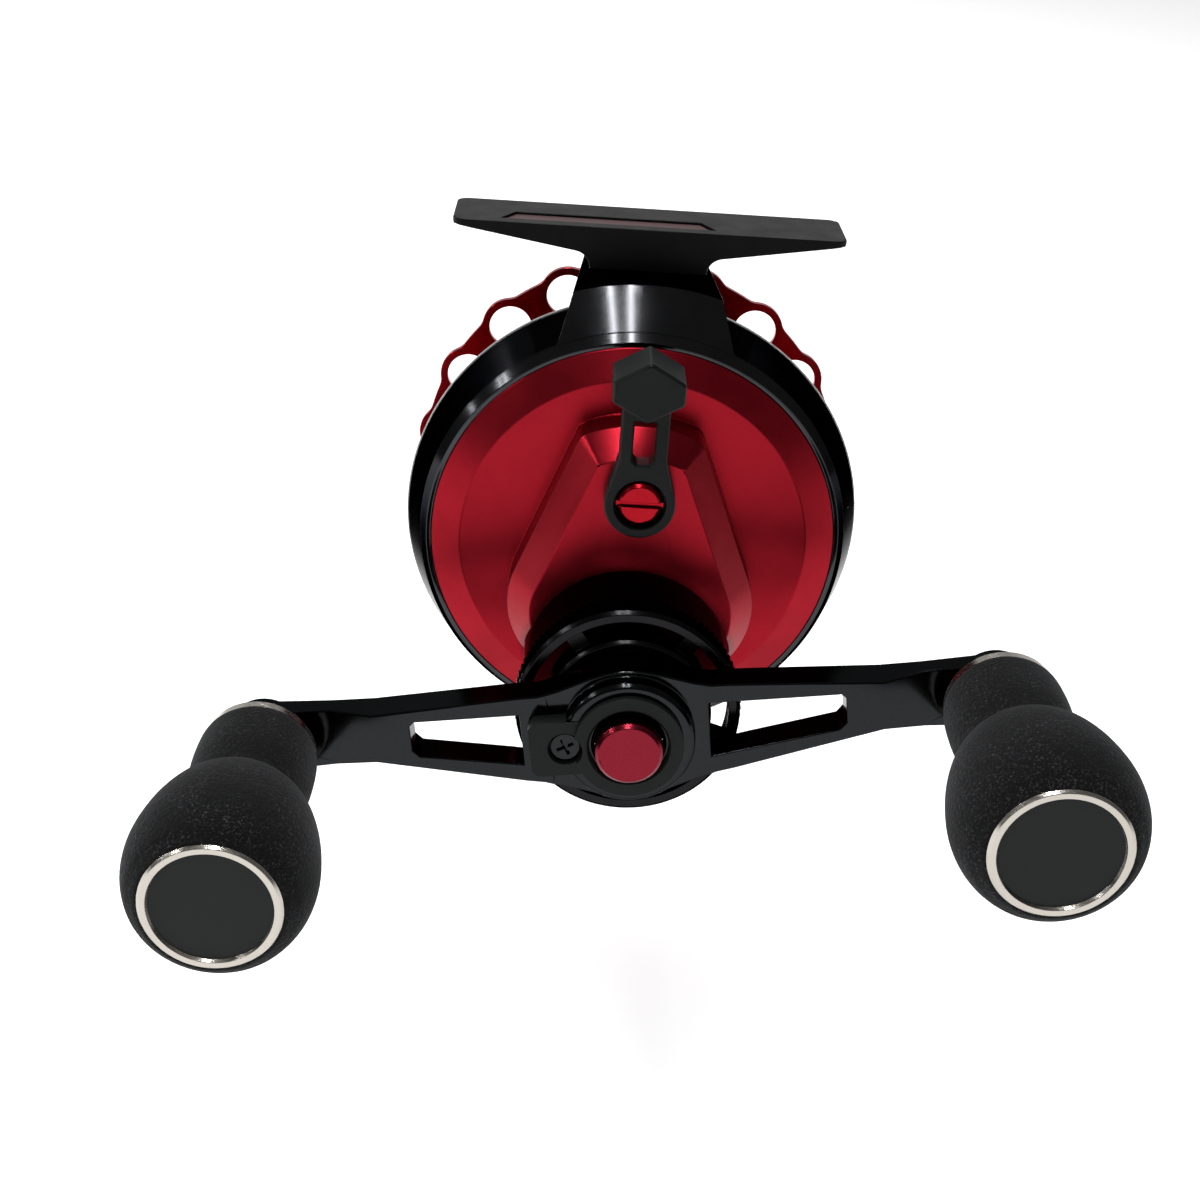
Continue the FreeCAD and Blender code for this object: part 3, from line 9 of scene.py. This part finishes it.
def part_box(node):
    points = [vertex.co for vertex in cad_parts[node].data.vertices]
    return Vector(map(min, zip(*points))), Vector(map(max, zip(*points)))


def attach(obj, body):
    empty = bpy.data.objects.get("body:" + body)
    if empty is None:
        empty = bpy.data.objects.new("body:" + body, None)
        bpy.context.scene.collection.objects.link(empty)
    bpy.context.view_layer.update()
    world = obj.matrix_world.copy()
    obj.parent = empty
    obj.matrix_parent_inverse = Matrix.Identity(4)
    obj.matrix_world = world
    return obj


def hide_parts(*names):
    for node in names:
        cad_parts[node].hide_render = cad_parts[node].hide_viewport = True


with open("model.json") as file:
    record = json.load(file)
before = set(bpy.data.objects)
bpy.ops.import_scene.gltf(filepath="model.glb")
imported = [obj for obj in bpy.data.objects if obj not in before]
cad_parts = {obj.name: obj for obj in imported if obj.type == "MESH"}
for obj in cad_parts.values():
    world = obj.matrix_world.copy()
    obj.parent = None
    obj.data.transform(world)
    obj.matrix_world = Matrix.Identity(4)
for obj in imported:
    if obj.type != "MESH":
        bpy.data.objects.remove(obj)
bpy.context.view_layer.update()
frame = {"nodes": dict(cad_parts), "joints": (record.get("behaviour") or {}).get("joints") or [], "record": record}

MM = 0.001
SHARP = 18.0            # degrees between two faces of a CAD node that read as an edge
SHARP_DRAWN = 30.0      # the same on the meshes that are drawn here
SIDES = ("left", "right")
JOINTS = {joint["name"]: joint for joint in frame["joints"]}
SPOOL_AXIS = Vector(JOINTS["spool_spin"]["pos_m"])
DRIVE_AXIS = Vector(JOINTS["handle_spin"]["pos_m"])
KNOB_AXIS = {side: Vector(JOINTS[f"knob_{side}_spin"]["pos_m"]) for side in SIDES}
BODY_OF = {name: body for body, names in frame["record"]["behaviour"]["bodies"].items()
           for name in names}


# ---------------------------------------------------------------- node helpers

class Shader:
    """A material with a Principled shader, and short calls to add and join its nodes."""

    def __init__(self, name, colour, metallic, roughness):
        self.material = bpy.data.materials.new(name)
        self.material.use_nodes = True
        self.tree = self.material.node_tree
        self.surface = self.tree.nodes["Principled BSDF"]
        self.set(self.surface, "Base Color", (*colour, 1.0))
        self.set(self.surface, "Metallic", metallic)
        self.set(self.surface, "Roughness", roughness)

    def node(self, kind, **settings):
        made = self.tree.nodes.new(kind)
        for key, value in settings.items():
            setattr(made, key, value)
        return made

    def set(self, node, socket, value):
        node.inputs[socket].default_value = value

    def link(self, source, target):
        self.tree.links.new(source, target)

    def place(self, centre=(0.0, 0.0, 0.0)):
        """Position in the piece's own space, measured from a centre."""
        here = self.node("ShaderNodeTexCoord").outputs["Object"]
        moved = self.node("ShaderNodeVectorMath", operation="SUBTRACT")
        self.link(here, moved.inputs[0])
        moved.inputs[1].default_value = centre
        return moved.outputs["Vector"]

    def noise(self, scale, detail=2.0, rough=0.5, place=None):
        made = self.node("ShaderNodeTexNoise")
        self.set(made, "Scale", scale)
        self.set(made, "Detail", detail)
        self.set(made, "Roughness", rough)
        self.link(place or self.place(), made.inputs["Vector"])
        return made.outputs["Fac"]

    def stretch(self, place, factors):
        made = self.node("ShaderNodeVectorMath", operation="MULTIPLY")
        self.link(place, made.inputs[0])
        made.inputs[1].default_value = factors
        return made.outputs["Vector"]

    def spread(self, factor, low, high, from_low=0.0, from_high=1.0):
        """Map a 0 to 1 value onto a range."""
        made = self.node("ShaderNodeMapRange")
        for socket, value in (("From Min", from_low), ("From Max", from_high),
                              ("To Min", low), ("To Max", high)):
            self.set(made, socket, value)
        self.link(factor, made.inputs["Value"])
        return made.outputs["Result"]

    def blend(self, factor, first, second):
        made = self.node("ShaderNodeMix", data_type="RGBA")
        self.link(factor, made.inputs["Factor"])
        made.inputs["A"].default_value = (*first, 1.0)
        made.inputs["B"].default_value = (*second, 1.0)
        return made.outputs["Result"]

    def math(self, operation, first, second):
        made = self.node("ShaderNodeMath", operation=operation)
        for socket, value in zip(made.inputs, (first, second)):
            if isinstance(value, (int, float)):
                socket.default_value = value
            else:
                self.link(value, socket)
        return made.outputs["Value"]

    def bump(self, height, strength, distance, normal=None):
        made = self.node("ShaderNodeBump")
        self.set(made, "Strength", strength)
        self.set(made, "Distance", distance)
        self.link(height, made.inputs["Height"])
        if normal is not None:
            self.link(normal, made.inputs["Normal"])
        return made.outputs["Normal"]

    def finish(self, normal):
        self.link(normal, self.surface.inputs["Normal"])
        return self.material


def radius_about(shader, centre):
    """Distance from an axis parallel to Y, and the outward direction as a tangent."""
    flat = shader.stretch(shader.place(centre), (1.0, 0.0, 1.0))
    length = shader.node("ShaderNodeVectorMath", operation="LENGTH")
    shader.link(flat, length.inputs[0])
    outward = shader.node("ShaderNodeVectorMath", operation="NORMALIZE")
    shader.link(flat, outward.inputs[0])
    world = shader.node("ShaderNodeVectorTransform", vector_type="VECTOR",
                        convert_from="OBJECT", convert_to="WORLD")
    shader.link(outward.outputs["Vector"], world.inputs["Vector"])
    return length.outputs["Value"], world.outputs["Vector"]


# ---------------------------------------------------------------- materials

# Painted shade: the cover's base colour is drawn nearly black within the first radius of the drive
# axis, where the dish around the shaft lies in shade, and plain red beyond the second. Millimetres.
PAINTED_SHADE_INNER, PAINTED_SHADE_OUTER = 17.2, 19.6


def turned_metal(name, colour, roughness, centre, lustre, worn=0.04, edge=1.0, shade_axis=None):
    """Lathe-turned, anodised metal: grooves run round an axis, so lights draw radial streaks.

    Edge scales the reflection at a glancing angle. The last argument is a second axis: close to it
    the base colour is painted nearly black, a painted shade for the dish and collar around it.
    """
    shader = Shader(name, colour, 1.0, roughness)
    shader.set(shader.surface, "Anisotropic", lustre)
    shader.set(shader.surface, "Specular Tint", (edge, edge, edge, 1.0))
    radius, outward = radius_about(shader, centre)
    shader.link(outward, shader.surface.inputs["Tangent"])
    groove = shader.node("ShaderNodeTexNoise", noise_dimensions="1D")
    shader.set(groove, "Scale", 9000.0)
    shader.set(groove, "Detail", 1.0)
    shader.link(radius, groove.inputs["W"])
    cloud = shader.noise(180.0, 3.0)
    rough = shader.math("ADD", shader.spread(cloud, roughness - worn, roughness + worn),
                        shader.spread(groove.outputs["Fac"], -worn, worn))
    shader.link(rough, shader.surface.inputs["Roughness"])
    tint = shader.blend(shader.spread(cloud, 0.0, 1.0, 0.35, 0.65),
                        [c * 0.94 for c in colour], [min(1.0, c * 1.06) for c in colour])
    # Painted shade: the base colour fades to nearly black towards the second axis.
    if shade_axis is not None:
        near = radius_about(shader, shade_axis)[0]
        depth = shader.spread(near, 0.97, 0.0, PAINTED_SHADE_INNER * MM, PAINTED_SHADE_OUTER * MM)
        painted_shade_mix = shader.node("ShaderNodeMix", data_type="RGBA")
        shader.link(depth, painted_shade_mix.inputs["Factor"])
        shader.link(tint, painted_shade_mix.inputs["A"])
        painted_shade_mix.inputs["B"].default_value = (*[c * 0.04 for c in colour], 1.0)
        tint = painted_shade_mix.outputs["Result"]
    shader.link(tint, shader.surface.inputs["Base Color"])
    return shader.finish(shader.bump(groove.outputs["Fac"], 0.06, 0.02 * MM))


def satin_metal(name, colour, roughness, metallic=1.0, grain=0.10, specular=0.5, worn=0.05,
                edge=1.0):
    """Bead-blasted, anodised metal: a fine even grain and faint handling marks."""
    shader = Shader(name, colour, metallic, roughness)
    shader.set(shader.surface, "Specular IOR Level", specular)
    shader.set(shader.surface, "Specular Tint", (edge, edge, edge, 1.0))
    fine = shader.noise(5200.0, 2.0)
    cloud = shader.noise(140.0, 4.0, 0.6)
    shader.link(shader.spread(cloud, roughness - worn, roughness + worn, 0.3, 0.7),
                shader.surface.inputs["Roughness"])
    tint = shader.blend(shader.spread(fine, 0.0, 1.0, 0.3, 0.7),
                        [c * 0.88 for c in colour], [min(1.0, c * 1.12) for c in colour])
    shader.link(tint, shader.surface.inputs["Base Color"])
    return shader.finish(shader.bump(fine, grain, 0.03 * MM))


def foam(name, colour):
    """Closed-cell foam: pinhead cells, pale specks of skin, a soft sheen at the rim."""
    shader = Shader(name, colour, 0.0, 0.92)
    shader.set(shader.surface, "Specular IOR Level", 0.12)
    shader.set(shader.surface, "Sheen Weight", 0.08)
    shader.set(shader.surface, "Sheen Roughness", 0.55)
    shader.set(shader.surface, "Sheen Tint", (0.55, 0.57, 0.60, 1.0))
    cells = shader.node("ShaderNodeTexVoronoi")
    shader.set(cells, "Scale", 1500.0)
    shader.link(shader.place(), cells.inputs["Vector"])
    speck = shader.noise(2600.0, 3.0, 0.7)
    patch = shader.noise(150.0, 3.0, 0.6)
    pale = shader.math("MULTIPLY", shader.spread(speck, 0.0, 1.0, 0.54, 0.70),
                       shader.spread(patch, 0.15, 1.0, 0.35, 0.7))
    tint = shader.blend(pale, colour, [c * 24.0 for c in colour])
    shader.link(tint, shader.surface.inputs["Base Color"])
    pits = shader.bump(cells.outputs["Distance"], 0.60, 0.14 * MM)
    return shader.finish(shader.bump(speck, 0.30, 0.08 * MM, pits))


def plastic(name, colour, roughness, specular):
    """Moulded plastic with a very slight orange-peel surface."""
    shader = Shader(name, colour, 0.0, roughness)
    shader.set(shader.surface, "Specular IOR Level", specular)
    peel = shader.noise(900.0, 2.0)
    cloud = shader.noise(260.0, 3.0)
    shader.link(shader.spread(cloud, roughness - 0.04, roughness + 0.05, 0.3, 0.7),
                shader.surface.inputs["Roughness"])
    return shader.finish(shader.bump(peel, 0.05, 0.05 * MM))


def bright_steel(name, colour, roughness, centre=None):
    """Polished or ground steel with hairline marks."""
    shader = Shader(name, colour, 1.0, roughness)
    marks = shader.noise(60.0, 4.0, 0.6, shader.stretch(shader.place(), (14.0, 90.0, 14.0)))
    shader.link(shader.spread(marks, roughness * 0.7, roughness * 1.5, 0.3, 0.7),
                shader.surface.inputs["Roughness"])
    if centre is not None:
        shader.set(shader.surface, "Anisotropic", 0.5)
        shader.link(radius_about(shader, centre)[1], shader.surface.inputs["Tangent"])
    return shader.finish(shader.bump(marks, 0.04, 0.02 * MM))


def carbon_weave(name):
    """Twill-woven drag washer: two sets of tows in a tight resin."""
    shader = Shader(name, (0.02, 0.02, 0.022), 0.0, 0.42)
    shader.set(shader.surface, "Coat Weight", 0.3)
    checks = shader.node("ShaderNodeTexChecker")
    shader.set(checks, "Scale", 900.0)
    shader.link(shader.place(), checks.inputs["Vector"])
    tint = shader.blend(checks.outputs["Fac"], (0.012, 0.012, 0.014), (0.06, 0.06, 0.066))
    shader.link(tint, shader.surface.inputs["Base Color"])
    return shader.finish(shader.bump(checks.outputs["Fac"], 0.2, 0.05 * MM))


RED = (0.275, 0.009, 0.017)
BLACK = (0.042, 0.043, 0.046)
FINISH = {
    # the red cover carries a painted shade round the drive axis
    "red_cover": turned_metal("red_cover", RED, 0.33, SPOOL_AXIS, lustre=0.55,
                              shade_axis=DRIVE_AXIS),
    "red_drum": turned_metal("red_drum", (0.36, 0.010, 0.017), 0.22, SPOOL_AXIS, lustre=0.35),
    "red_small": satin_metal("red_small", (0.28, 0.007, 0.013), 0.22, grain=0.03),
    "red_cap": satin_metal("red_cap", (0.17, 0.012, 0.022), 0.24, grain=0.03),
    "black_turned": turned_metal("black_turned", BLACK, 0.13, SPOOL_AXIS, lustre=0.45,
                                 edge=0.08, worn=0.025),
    "black_drag": turned_metal("black_drag", (0.014, 0.014, 0.015), 0.18, DRIVE_AXIS,
                               lustre=0.4, edge=0.12, worn=0.03),
    "black_satin": satin_metal("black_satin", (0.0055, 0.0065, 0.0065), 0.42, metallic=0.0,
                               grain=0.06, specular=0.13),
    "black_foot": satin_metal("black_foot", (0.0035, 0.0035, 0.0035), 0.40, metallic=0.0,
                              grain=0.06, specular=0.07),
    "black_gloss": satin_metal("black_gloss", (0.020, 0.021, 0.022), 0.13, grain=0.015,
                               worn=0.03, edge=0.45),
    "steel": bright_steel("steel", (0.46, 0.43, 0.39), 0.20),
    # bright steel for the rings that are painted highlight lines on the frame's rear edge
    "lip": bright_steel("lip", (0.42, 0.42, 0.41), 0.28),
    "bearing": bright_steel("bearing", (0.58, 0.58, 0.60), 0.16, SPOOL_AXIS),
    "brass": satin_metal("brass", (0.72, 0.50, 0.20), 0.26, grain=0.04),
    "foam": foam("foam", (0.0026, 0.0027, 0.0029)),
    "plastic": plastic("plastic", (0.0065, 0.0073, 0.0076), 0.34, 0.16),
    "inlay": satin_metal("inlay", (0.055, 0.020, 0.022), 0.5, metallic=0.0, specular=0.3),
    "carbon": carbon_weave("carbon"),
}
WEARS = {
    "red_cover": ["gear_cover"],
    "red_drum": ["spool"],
    "red_small": ["lever_screw", "spool_nut"],
    "red_cap": ["nut_cap"],
    "black_turned": ["frame", "bezel_ring"],
    "black_drag": ["drag_wheel"],
    "black_satin": ["clutch_lever", "lever_pad", "handle_retainer"],
    "black_foot": ["reel_foot"],
    "black_gloss": ["handle_arm", "retainer_screw"],
    "steel": ["foot_screws", "cover_screws", "spool_washer", "spool_shaft", "cross_pin",
              "drive_shaft", "pressure_plate", "drive_sleeve", "drag_springs", "handle_nut",
              "clutch_cam", "yoke_posts", "clutch_springs", "knob_axle_left",
              "knob_axle_right", "knob_collar_left", "knob_collar_right", "knob_ring_left",
              "knob_ring_right", "axle_screw_left", "axle_screw_right"],
    "bearing": ["spool_bearing_rear", "spool_bearing_front", "one_way_bearing",
                "knob_bearings_left", "knob_bearings_right"],
    "brass": ["pinion", "drive_gear", "drive_bush", "lever_bush"],
    "foam": ["knob_grip_left", "knob_grip_right"],
    "plastic": ["knob_core_left", "knob_core_right", "knob_cap_left", "knob_cap_right",
                "clutch_yoke"],
    "carbon": ["drag_washers"],
}


def dress_node(name, finish):
    """Give a CAD node its finish in every slot."""
    node = frame["nodes"][name]
    for slot in node.material_slots:
        slot.material = FINISH[finish]


def add_piece(name, mesh, body, finish):
    """Put a mesh, drawn in the row frame, into the scene on its body with its finish."""
    piece = bpy.data.objects.new(name, mesh)
    bpy.context.scene.collection.objects.link(piece)
    mesh.materials.clear()
    mesh.materials.append(FINISH[finish])
    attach(piece, body)
    return piece


def mark_edges(shape, angle):
    """Smooth faces with crisp edges wherever two of them meet at more than an angle."""
    for face in shape.faces:
        face.smooth = True
    for edge in shape.edges:
        edge.smooth = edge.calc_face_angle(0.0) < math.radians(angle)


def eased(name, width):
    """A copy of a CAD node with its sharp edges broken by a hair, in the node's place."""
    node = frame["nodes"][name]
    shape = bmesh.new()
    shape.from_mesh(node.data)
    shape.transform(node.matrix_world)
    bmesh.ops.remove_doubles(shape, verts=shape.verts, dist=0.002 * MM)
    mark_edges(shape, SHARP)
    mesh = bpy.data.meshes.new(name + "_skin")
    shape.to_mesh(mesh)
    shape.free()
    if "custom_normal" in mesh.attributes:
        mesh.attributes.remove(mesh.attributes["custom_normal"])
    finish = next(key for key, names in WEARS.items() if name in names)
    piece = add_piece(name + "_eased", mesh, BODY_OF[name], finish)
    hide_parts(name)
    edge = piece.modifiers.new("broken_edges", "BEVEL")
    edge.width = width
    edge.segments = 2
    edge.limit_method = "ANGLE"
    edge.angle_limit = math.radians(SHARP)
    edge.harden_normals = True
    edge.use_clamp_overlap = False
    return piece


def curve_through(points, steps):
    """Points along a smooth Catmull-Rom curve through a list of 2-D points."""
    padded = [points[0], *points, points[-1]]
    out = []
    for a, b, c, d in zip(padded, padded[1:], padded[2:], padded[3:]):
        for k in range(steps):
            t = k / steps
            out.append(tuple(
                0.5 * (2 * b[i] + (c[i] - a[i]) * t
                       + (2 * a[i] - 5 * b[i] + 4 * c[i] - d[i]) * t * t
                       + (3 * b[i] - a[i] - 3 * c[i] + d[i]) * t ** 3) for i in (0, 1)))
    return out + [points[-1]]


def lathe(profile, axis, turns, wobble=None):
    """A closed ring swept about an axis along Y from (radius, depth) points in millimetres."""
    shape = bmesh.new()
    rows = []
    for step in range(turns):
        angle = 2 * math.pi * step / turns
        row = []
        for radius, depth in profile:
            reach = radius + (wobble(radius, depth, step) if wobble else 0.0)
            row.append(shape.verts.new((axis.x + reach * MM * math.cos(angle), depth * MM,
                                        axis.z + reach * MM * math.sin(angle))))
        rows.append(row)
    count = len(profile)
    for step in range(turns):
        here, there = rows[step], rows[(step + 1) % turns]
        for k in range(count):
            shape.faces.new((here[k], here[(k + 1) % count], there[(k + 1) % count], there[k]))
    bmesh.ops.recalc_face_normals(shape, faces=shape.faces)
    return shape


def to_mesh(name, shape):
    """The finished mesh of a shape that is drawn here."""
    mark_edges(shape, SHARP_DRAWN)
    mesh = bpy.data.meshes.new(name)
    shape.to_mesh(mesh)
    shape.free()
    return mesh


for finish, names in WEARS.items():
    for name in names:
        dress_node(name, finish)

EASED = {
    # how wide each node's edges are broken, in millimetres
    "frame": 0.16, "reel_foot": 0.22, "bezel_ring": 0.10, "gear_cover": 0.22,
    "clutch_lever": 0.14, "lever_pad": 0.14, "lever_screw": 0.10, "spool": 0.14,
    "drag_wheel": 0.14, "handle_arm": 0.34, "handle_retainer": 0.06, "nut_cap": 0.12,
    "knob_ring_left": 0.10, "knob_ring_right": 0.10,
}
for name, width in EASED.items():
    eased(name, width * MM)


# ---------------------------------------------------------------- knob grips

GRIP_BACK, GRIP_FRONT = -63.5, -107.1   # depths along the knob's axis, in millimetres
GRIP_TURNS, GRIP_STEPS = 128, 6
GRIP_SKIN = [
    # (radius, share of the length from the handle end)
    (9.35, 0.0), (9.75, 0.012), (9.95, 0.054), (10.0, 0.15), (9.75, 0.24), (9.2, 0.31),
    (8.85, 0.355), (9.35, 0.378), (10.6, 0.42), (12.3, 0.495), (13.7, 0.60), (14.5, 0.706),
    (14.72, 0.793), (14.3, 0.875), (13.2, 0.946), (12.0, 0.98), (11.3, 0.996)]
RING_POCKET, CORE_BORE, POCKET_FLOOR = 10.85, 6.5, -104.2


def make_grip(side):
    """Foam knob: a smooth neck and ball with the end ring's pocket and the core's bore."""
    length = GRIP_FRONT - GRIP_BACK
    outside = curve_through([(r, GRIP_BACK + share * length) for r, share in GRIP_SKIN],
                            GRIP_STEPS)
    inside = [(RING_POCKET, GRIP_FRONT), (RING_POCKET, POCKET_FLOOR),
              (CORE_BORE, POCKET_FLOOR), (CORE_BORE, GRIP_BACK)]
    mesh = to_mesh(f"foam_{side}", lathe(outside + inside, KNOB_AXIS[side], GRIP_TURNS))
    grip = add_piece(f"grip_{side}", mesh, f"knob_{side}", "foam")
    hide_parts(f"knob_grip_{side}")


for side in SIDES:
    make_grip(side)


# ---------------------------------------------------------------- knurl, inlay and lips painted as highlight lines

# Radii, depths and corners are in millimetres.
KNURL_TEETH, KNURL_STEPS = 92, 4
KNURL_BORE, KNURL_LOW, KNURL_HIGH = 17.65, 18.45, 19.15
KNURL_BACK, KNURL_FRONT = -52.0, -54.5
INLAY_TOP, INLAY_FLOOR = -0.42, -0.60
INLAY_CORNERS = [(-26.1, -5.0), (11.2, -5.0), (9.0, -0.6), (-23.8, -0.6)]
LIP_BORE, LIP_TURNS = 39.9, 192
# Painted highlight lines: bright steel rings round the frame's rear edge.
HIGHLIGHT_LIPS = {
    # back face, front face, outer radius
    "rear_lip": (-12.7, -12.9, 40.9), "middle_lip": (-13.7, -14.0, 41.1),
}


def make_knurl():
    """Band of fine teeth round the back half of the drag wheel's rim."""
    def tooth(radius, depth, step):
        valley = radius < KNURL_LOW or step % KNURL_STEPS < KNURL_STEPS / 2
        return 0.0 if valley else KNURL_HIGH - KNURL_LOW

    band = lathe([(KNURL_BORE, KNURL_BACK), (KNURL_LOW, KNURL_BACK),
                  (KNURL_LOW, KNURL_FRONT), (KNURL_BORE, KNURL_FRONT)],
                 DRIVE_AXIS, KNURL_TEETH * KNURL_STEPS, tooth)
    add_piece("drag_wheel_knurl", to_mesh("knurl", band), "drag_wheel",
              "black_drag")


def make_inlay():
    """Thin strip bonded into the floor of the foot's groove."""
    shape = bmesh.new()
    top, low = ([shape.verts.new((x * MM, y * MM, z * MM)) for x, y in INLAY_CORNERS]
                for z in (INLAY_TOP, INLAY_FLOOR))
    shape.faces.new(top)
    shape.faces.new(low[::-1])
    for k in range(len(top)):
        shape.faces.new((top[k - 1], low[k - 1], low[k], top[k]))
    bmesh.ops.recalc_face_normals(shape, faces=shape.faces)
    add_piece("foot_inlay", to_mesh("inlay", shape), "frame", "inlay")


def make_rear_highlight_lips():
    """Painted highlight: two thin rings of bright steel, with a gap between them, stand in for the highlight lines
    along the frame's rear edge.
    """
    for name, (back, front, reach) in HIGHLIGHT_LIPS.items():
        ring = lathe([(LIP_BORE, back), (reach, back), (reach, front), (LIP_BORE, front)],
                     SPOOL_AXIS, LIP_TURNS)
        add_piece(f"frame_{name}", to_mesh(name, ring), "frame", "lip")


make_knurl()
make_inlay()
make_rear_highlight_lips()


# ---------------------------------------------------------------- room

# Lengths and places in the room are in metres, the camera's turns in radians, and its lens and
# sensor in millimetres.
WORLD_DIM, WORLD_BACK = 0.13, 0.60
FLOOR_REACH, FLOOR_GAP, FLOOR_GLOW = 6.0, 0.002, 0.52
TUBE_WIDTH, TUBE_LENGTH, TUBE_HEIGHT, TUBE_MIDDLE = 0.020, 2.2, 1.0, 0.1
TUBES = [
    # name, place from left to right, gap between the two tubes, watts each
    ("overhead_tubes", -0.12, 0.12, 8.0),
    ("side_tubes", -1.45, 0.14, 9.0),
    ("far_tubes", -2.8, 0.14, 9.0),
]
CAMERA_PLACE = (-0.0145, -0.3370, 0.0829)
CAMERA_YAW, CAMERA_PITCH, CAMERA_ROLL = 0.0305, 0.4401, -0.0687
CAMERA_LENS, CAMERA_SENSOR = 57.0, 36.0


def ceiling_tubes(name, across, gap, power):
    """A pair of long tubes overhead that run from front to back."""
    for side in (-0.5, 0.5):
        data = bpy.data.lights.new(name, "AREA")
        data.shape = "RECTANGLE"
        data.size, data.size_y = TUBE_WIDTH, TUBE_LENGTH
        data.energy = power
        lamp = bpy.data.objects.new(name, data)
        bpy.context.scene.collection.objects.link(lamp)
        lamp.location = (across + side * gap, TUBE_MIDDLE, TUBE_HEIGHT)


def make_world():
    """A dim room, brighter low down behind the object where the pale backdrop stands."""
    world = bpy.data.worlds.new("room")
    world.use_nodes = True
    bpy.context.scene.world = world
    tree = world.node_tree
    background = tree.nodes["Background"]
    heading = tree.nodes.new("ShaderNodeTexCoord")
    split = tree.nodes.new("ShaderNodeSeparateXYZ")
    tree.links.new(heading.outputs["Generated"], split.inputs["Vector"])

    def ramp(source, low, high, first, last):
        made = tree.nodes.new("ShaderNodeMapRange")
        made.interpolation_type = "SMOOTHSTEP"
        tree.links.new(source, made.inputs["Value"])
        for socket, number in (("From Min", low), ("From Max", high),
                               ("To Min", first), ("To Max", last)):
            made.inputs[socket].default_value = number
        return made.outputs["Result"]

    behind = ramp(split.outputs["Y"], 0.55, 0.9, 0.0, WORLD_BACK)
    low_down = ramp(split.outputs["Z"], 0.25, 0.65, 1.0, 0.0)
    glow = tree.nodes.new("ShaderNodeMath")
    glow.operation = "MULTIPLY_ADD"
    tree.links.new(behind, glow.inputs[0])
    tree.links.new(low_down, glow.inputs[1])
    glow.inputs[2].default_value = WORLD_DIM
    tree.links.new(glow.outputs["Value"], background.inputs["Strength"])
    background.inputs["Color"].default_value = (1.0, 1.0, 1.0, 1.0)


def make_room():
    """A pale floor just below the lowest point that the knobs swing through, and the lights."""
    grip_low, grip_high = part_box("knob_grip_left")
    arm = KNOB_AXIS["left"] - DRIVE_AXIS
    swing = math.hypot(arm.x, arm.z) + (grip_high[0] - grip_low[0]) / 2
    floor_mesh = bpy.data.meshes.new("floor")
    level = DRIVE_AXIS.z - swing - FLOOR_GAP
    corners = [(-FLOOR_REACH, -FLOOR_REACH, level), (FLOOR_REACH, -FLOOR_REACH, level),
               (FLOOR_REACH, FLOOR_REACH, level), (-FLOOR_REACH, FLOOR_REACH, level)]
    floor_mesh.from_pydata(corners, [], [(0, 1, 2, 3)])
    floor = bpy.data.objects.new("floor", floor_mesh)
    bpy.context.scene.collection.objects.link(floor)
    paint = Shader("floor_paint", (0.92, 0.92, 0.92), 0.0, 0.9)
    paint.set(paint.surface, "Specular IOR Level", 0.1)
    paint.set(paint.surface, "Emission Color", (1.0, 1.0, 1.0, 1.0))
    paint.set(paint.surface, "Emission Strength", FLOOR_GLOW)
    floor_mesh.materials.append(paint.material)
    make_world()
    for name, across, gap, power in TUBES:
        ceiling_tubes(name, across, gap, power)


def make_camera():
    """The viewpoint: close in front, a little to the left, looking down at the handle."""
    data = bpy.data.cameras.new("camera")
    data.sensor_width = CAMERA_SENSOR
    data.lens = CAMERA_LENS
    data.clip_start, data.clip_end = 0.01, 20.0
    camera = bpy.data.objects.new("camera", data)
    bpy.context.scene.collection.objects.link(camera)
    level_reach = math.cos(CAMERA_PITCH)
    ahead = Vector((math.sin(CAMERA_YAW) * level_reach, math.cos(CAMERA_YAW) * level_reach,
                    -math.sin(CAMERA_PITCH)))
    right = Vector((math.cos(CAMERA_YAW), -math.sin(CAMERA_YAW), 0.0))
    down = ahead.cross(right)
    turned_right = math.cos(CAMERA_ROLL) * right + math.sin(CAMERA_ROLL) * down
    turned_down = math.cos(CAMERA_ROLL) * down - math.sin(CAMERA_ROLL) * right
    camera.matrix_world = Matrix.Translation(CAMERA_PLACE) @ Matrix(
        (turned_right, -turned_down, -ahead)).transposed().to_4x4()
    bpy.context.scene.camera = camera


make_room()
make_camera()

look = bpy.context.scene.view_settings
look.view_transform = "Standard"
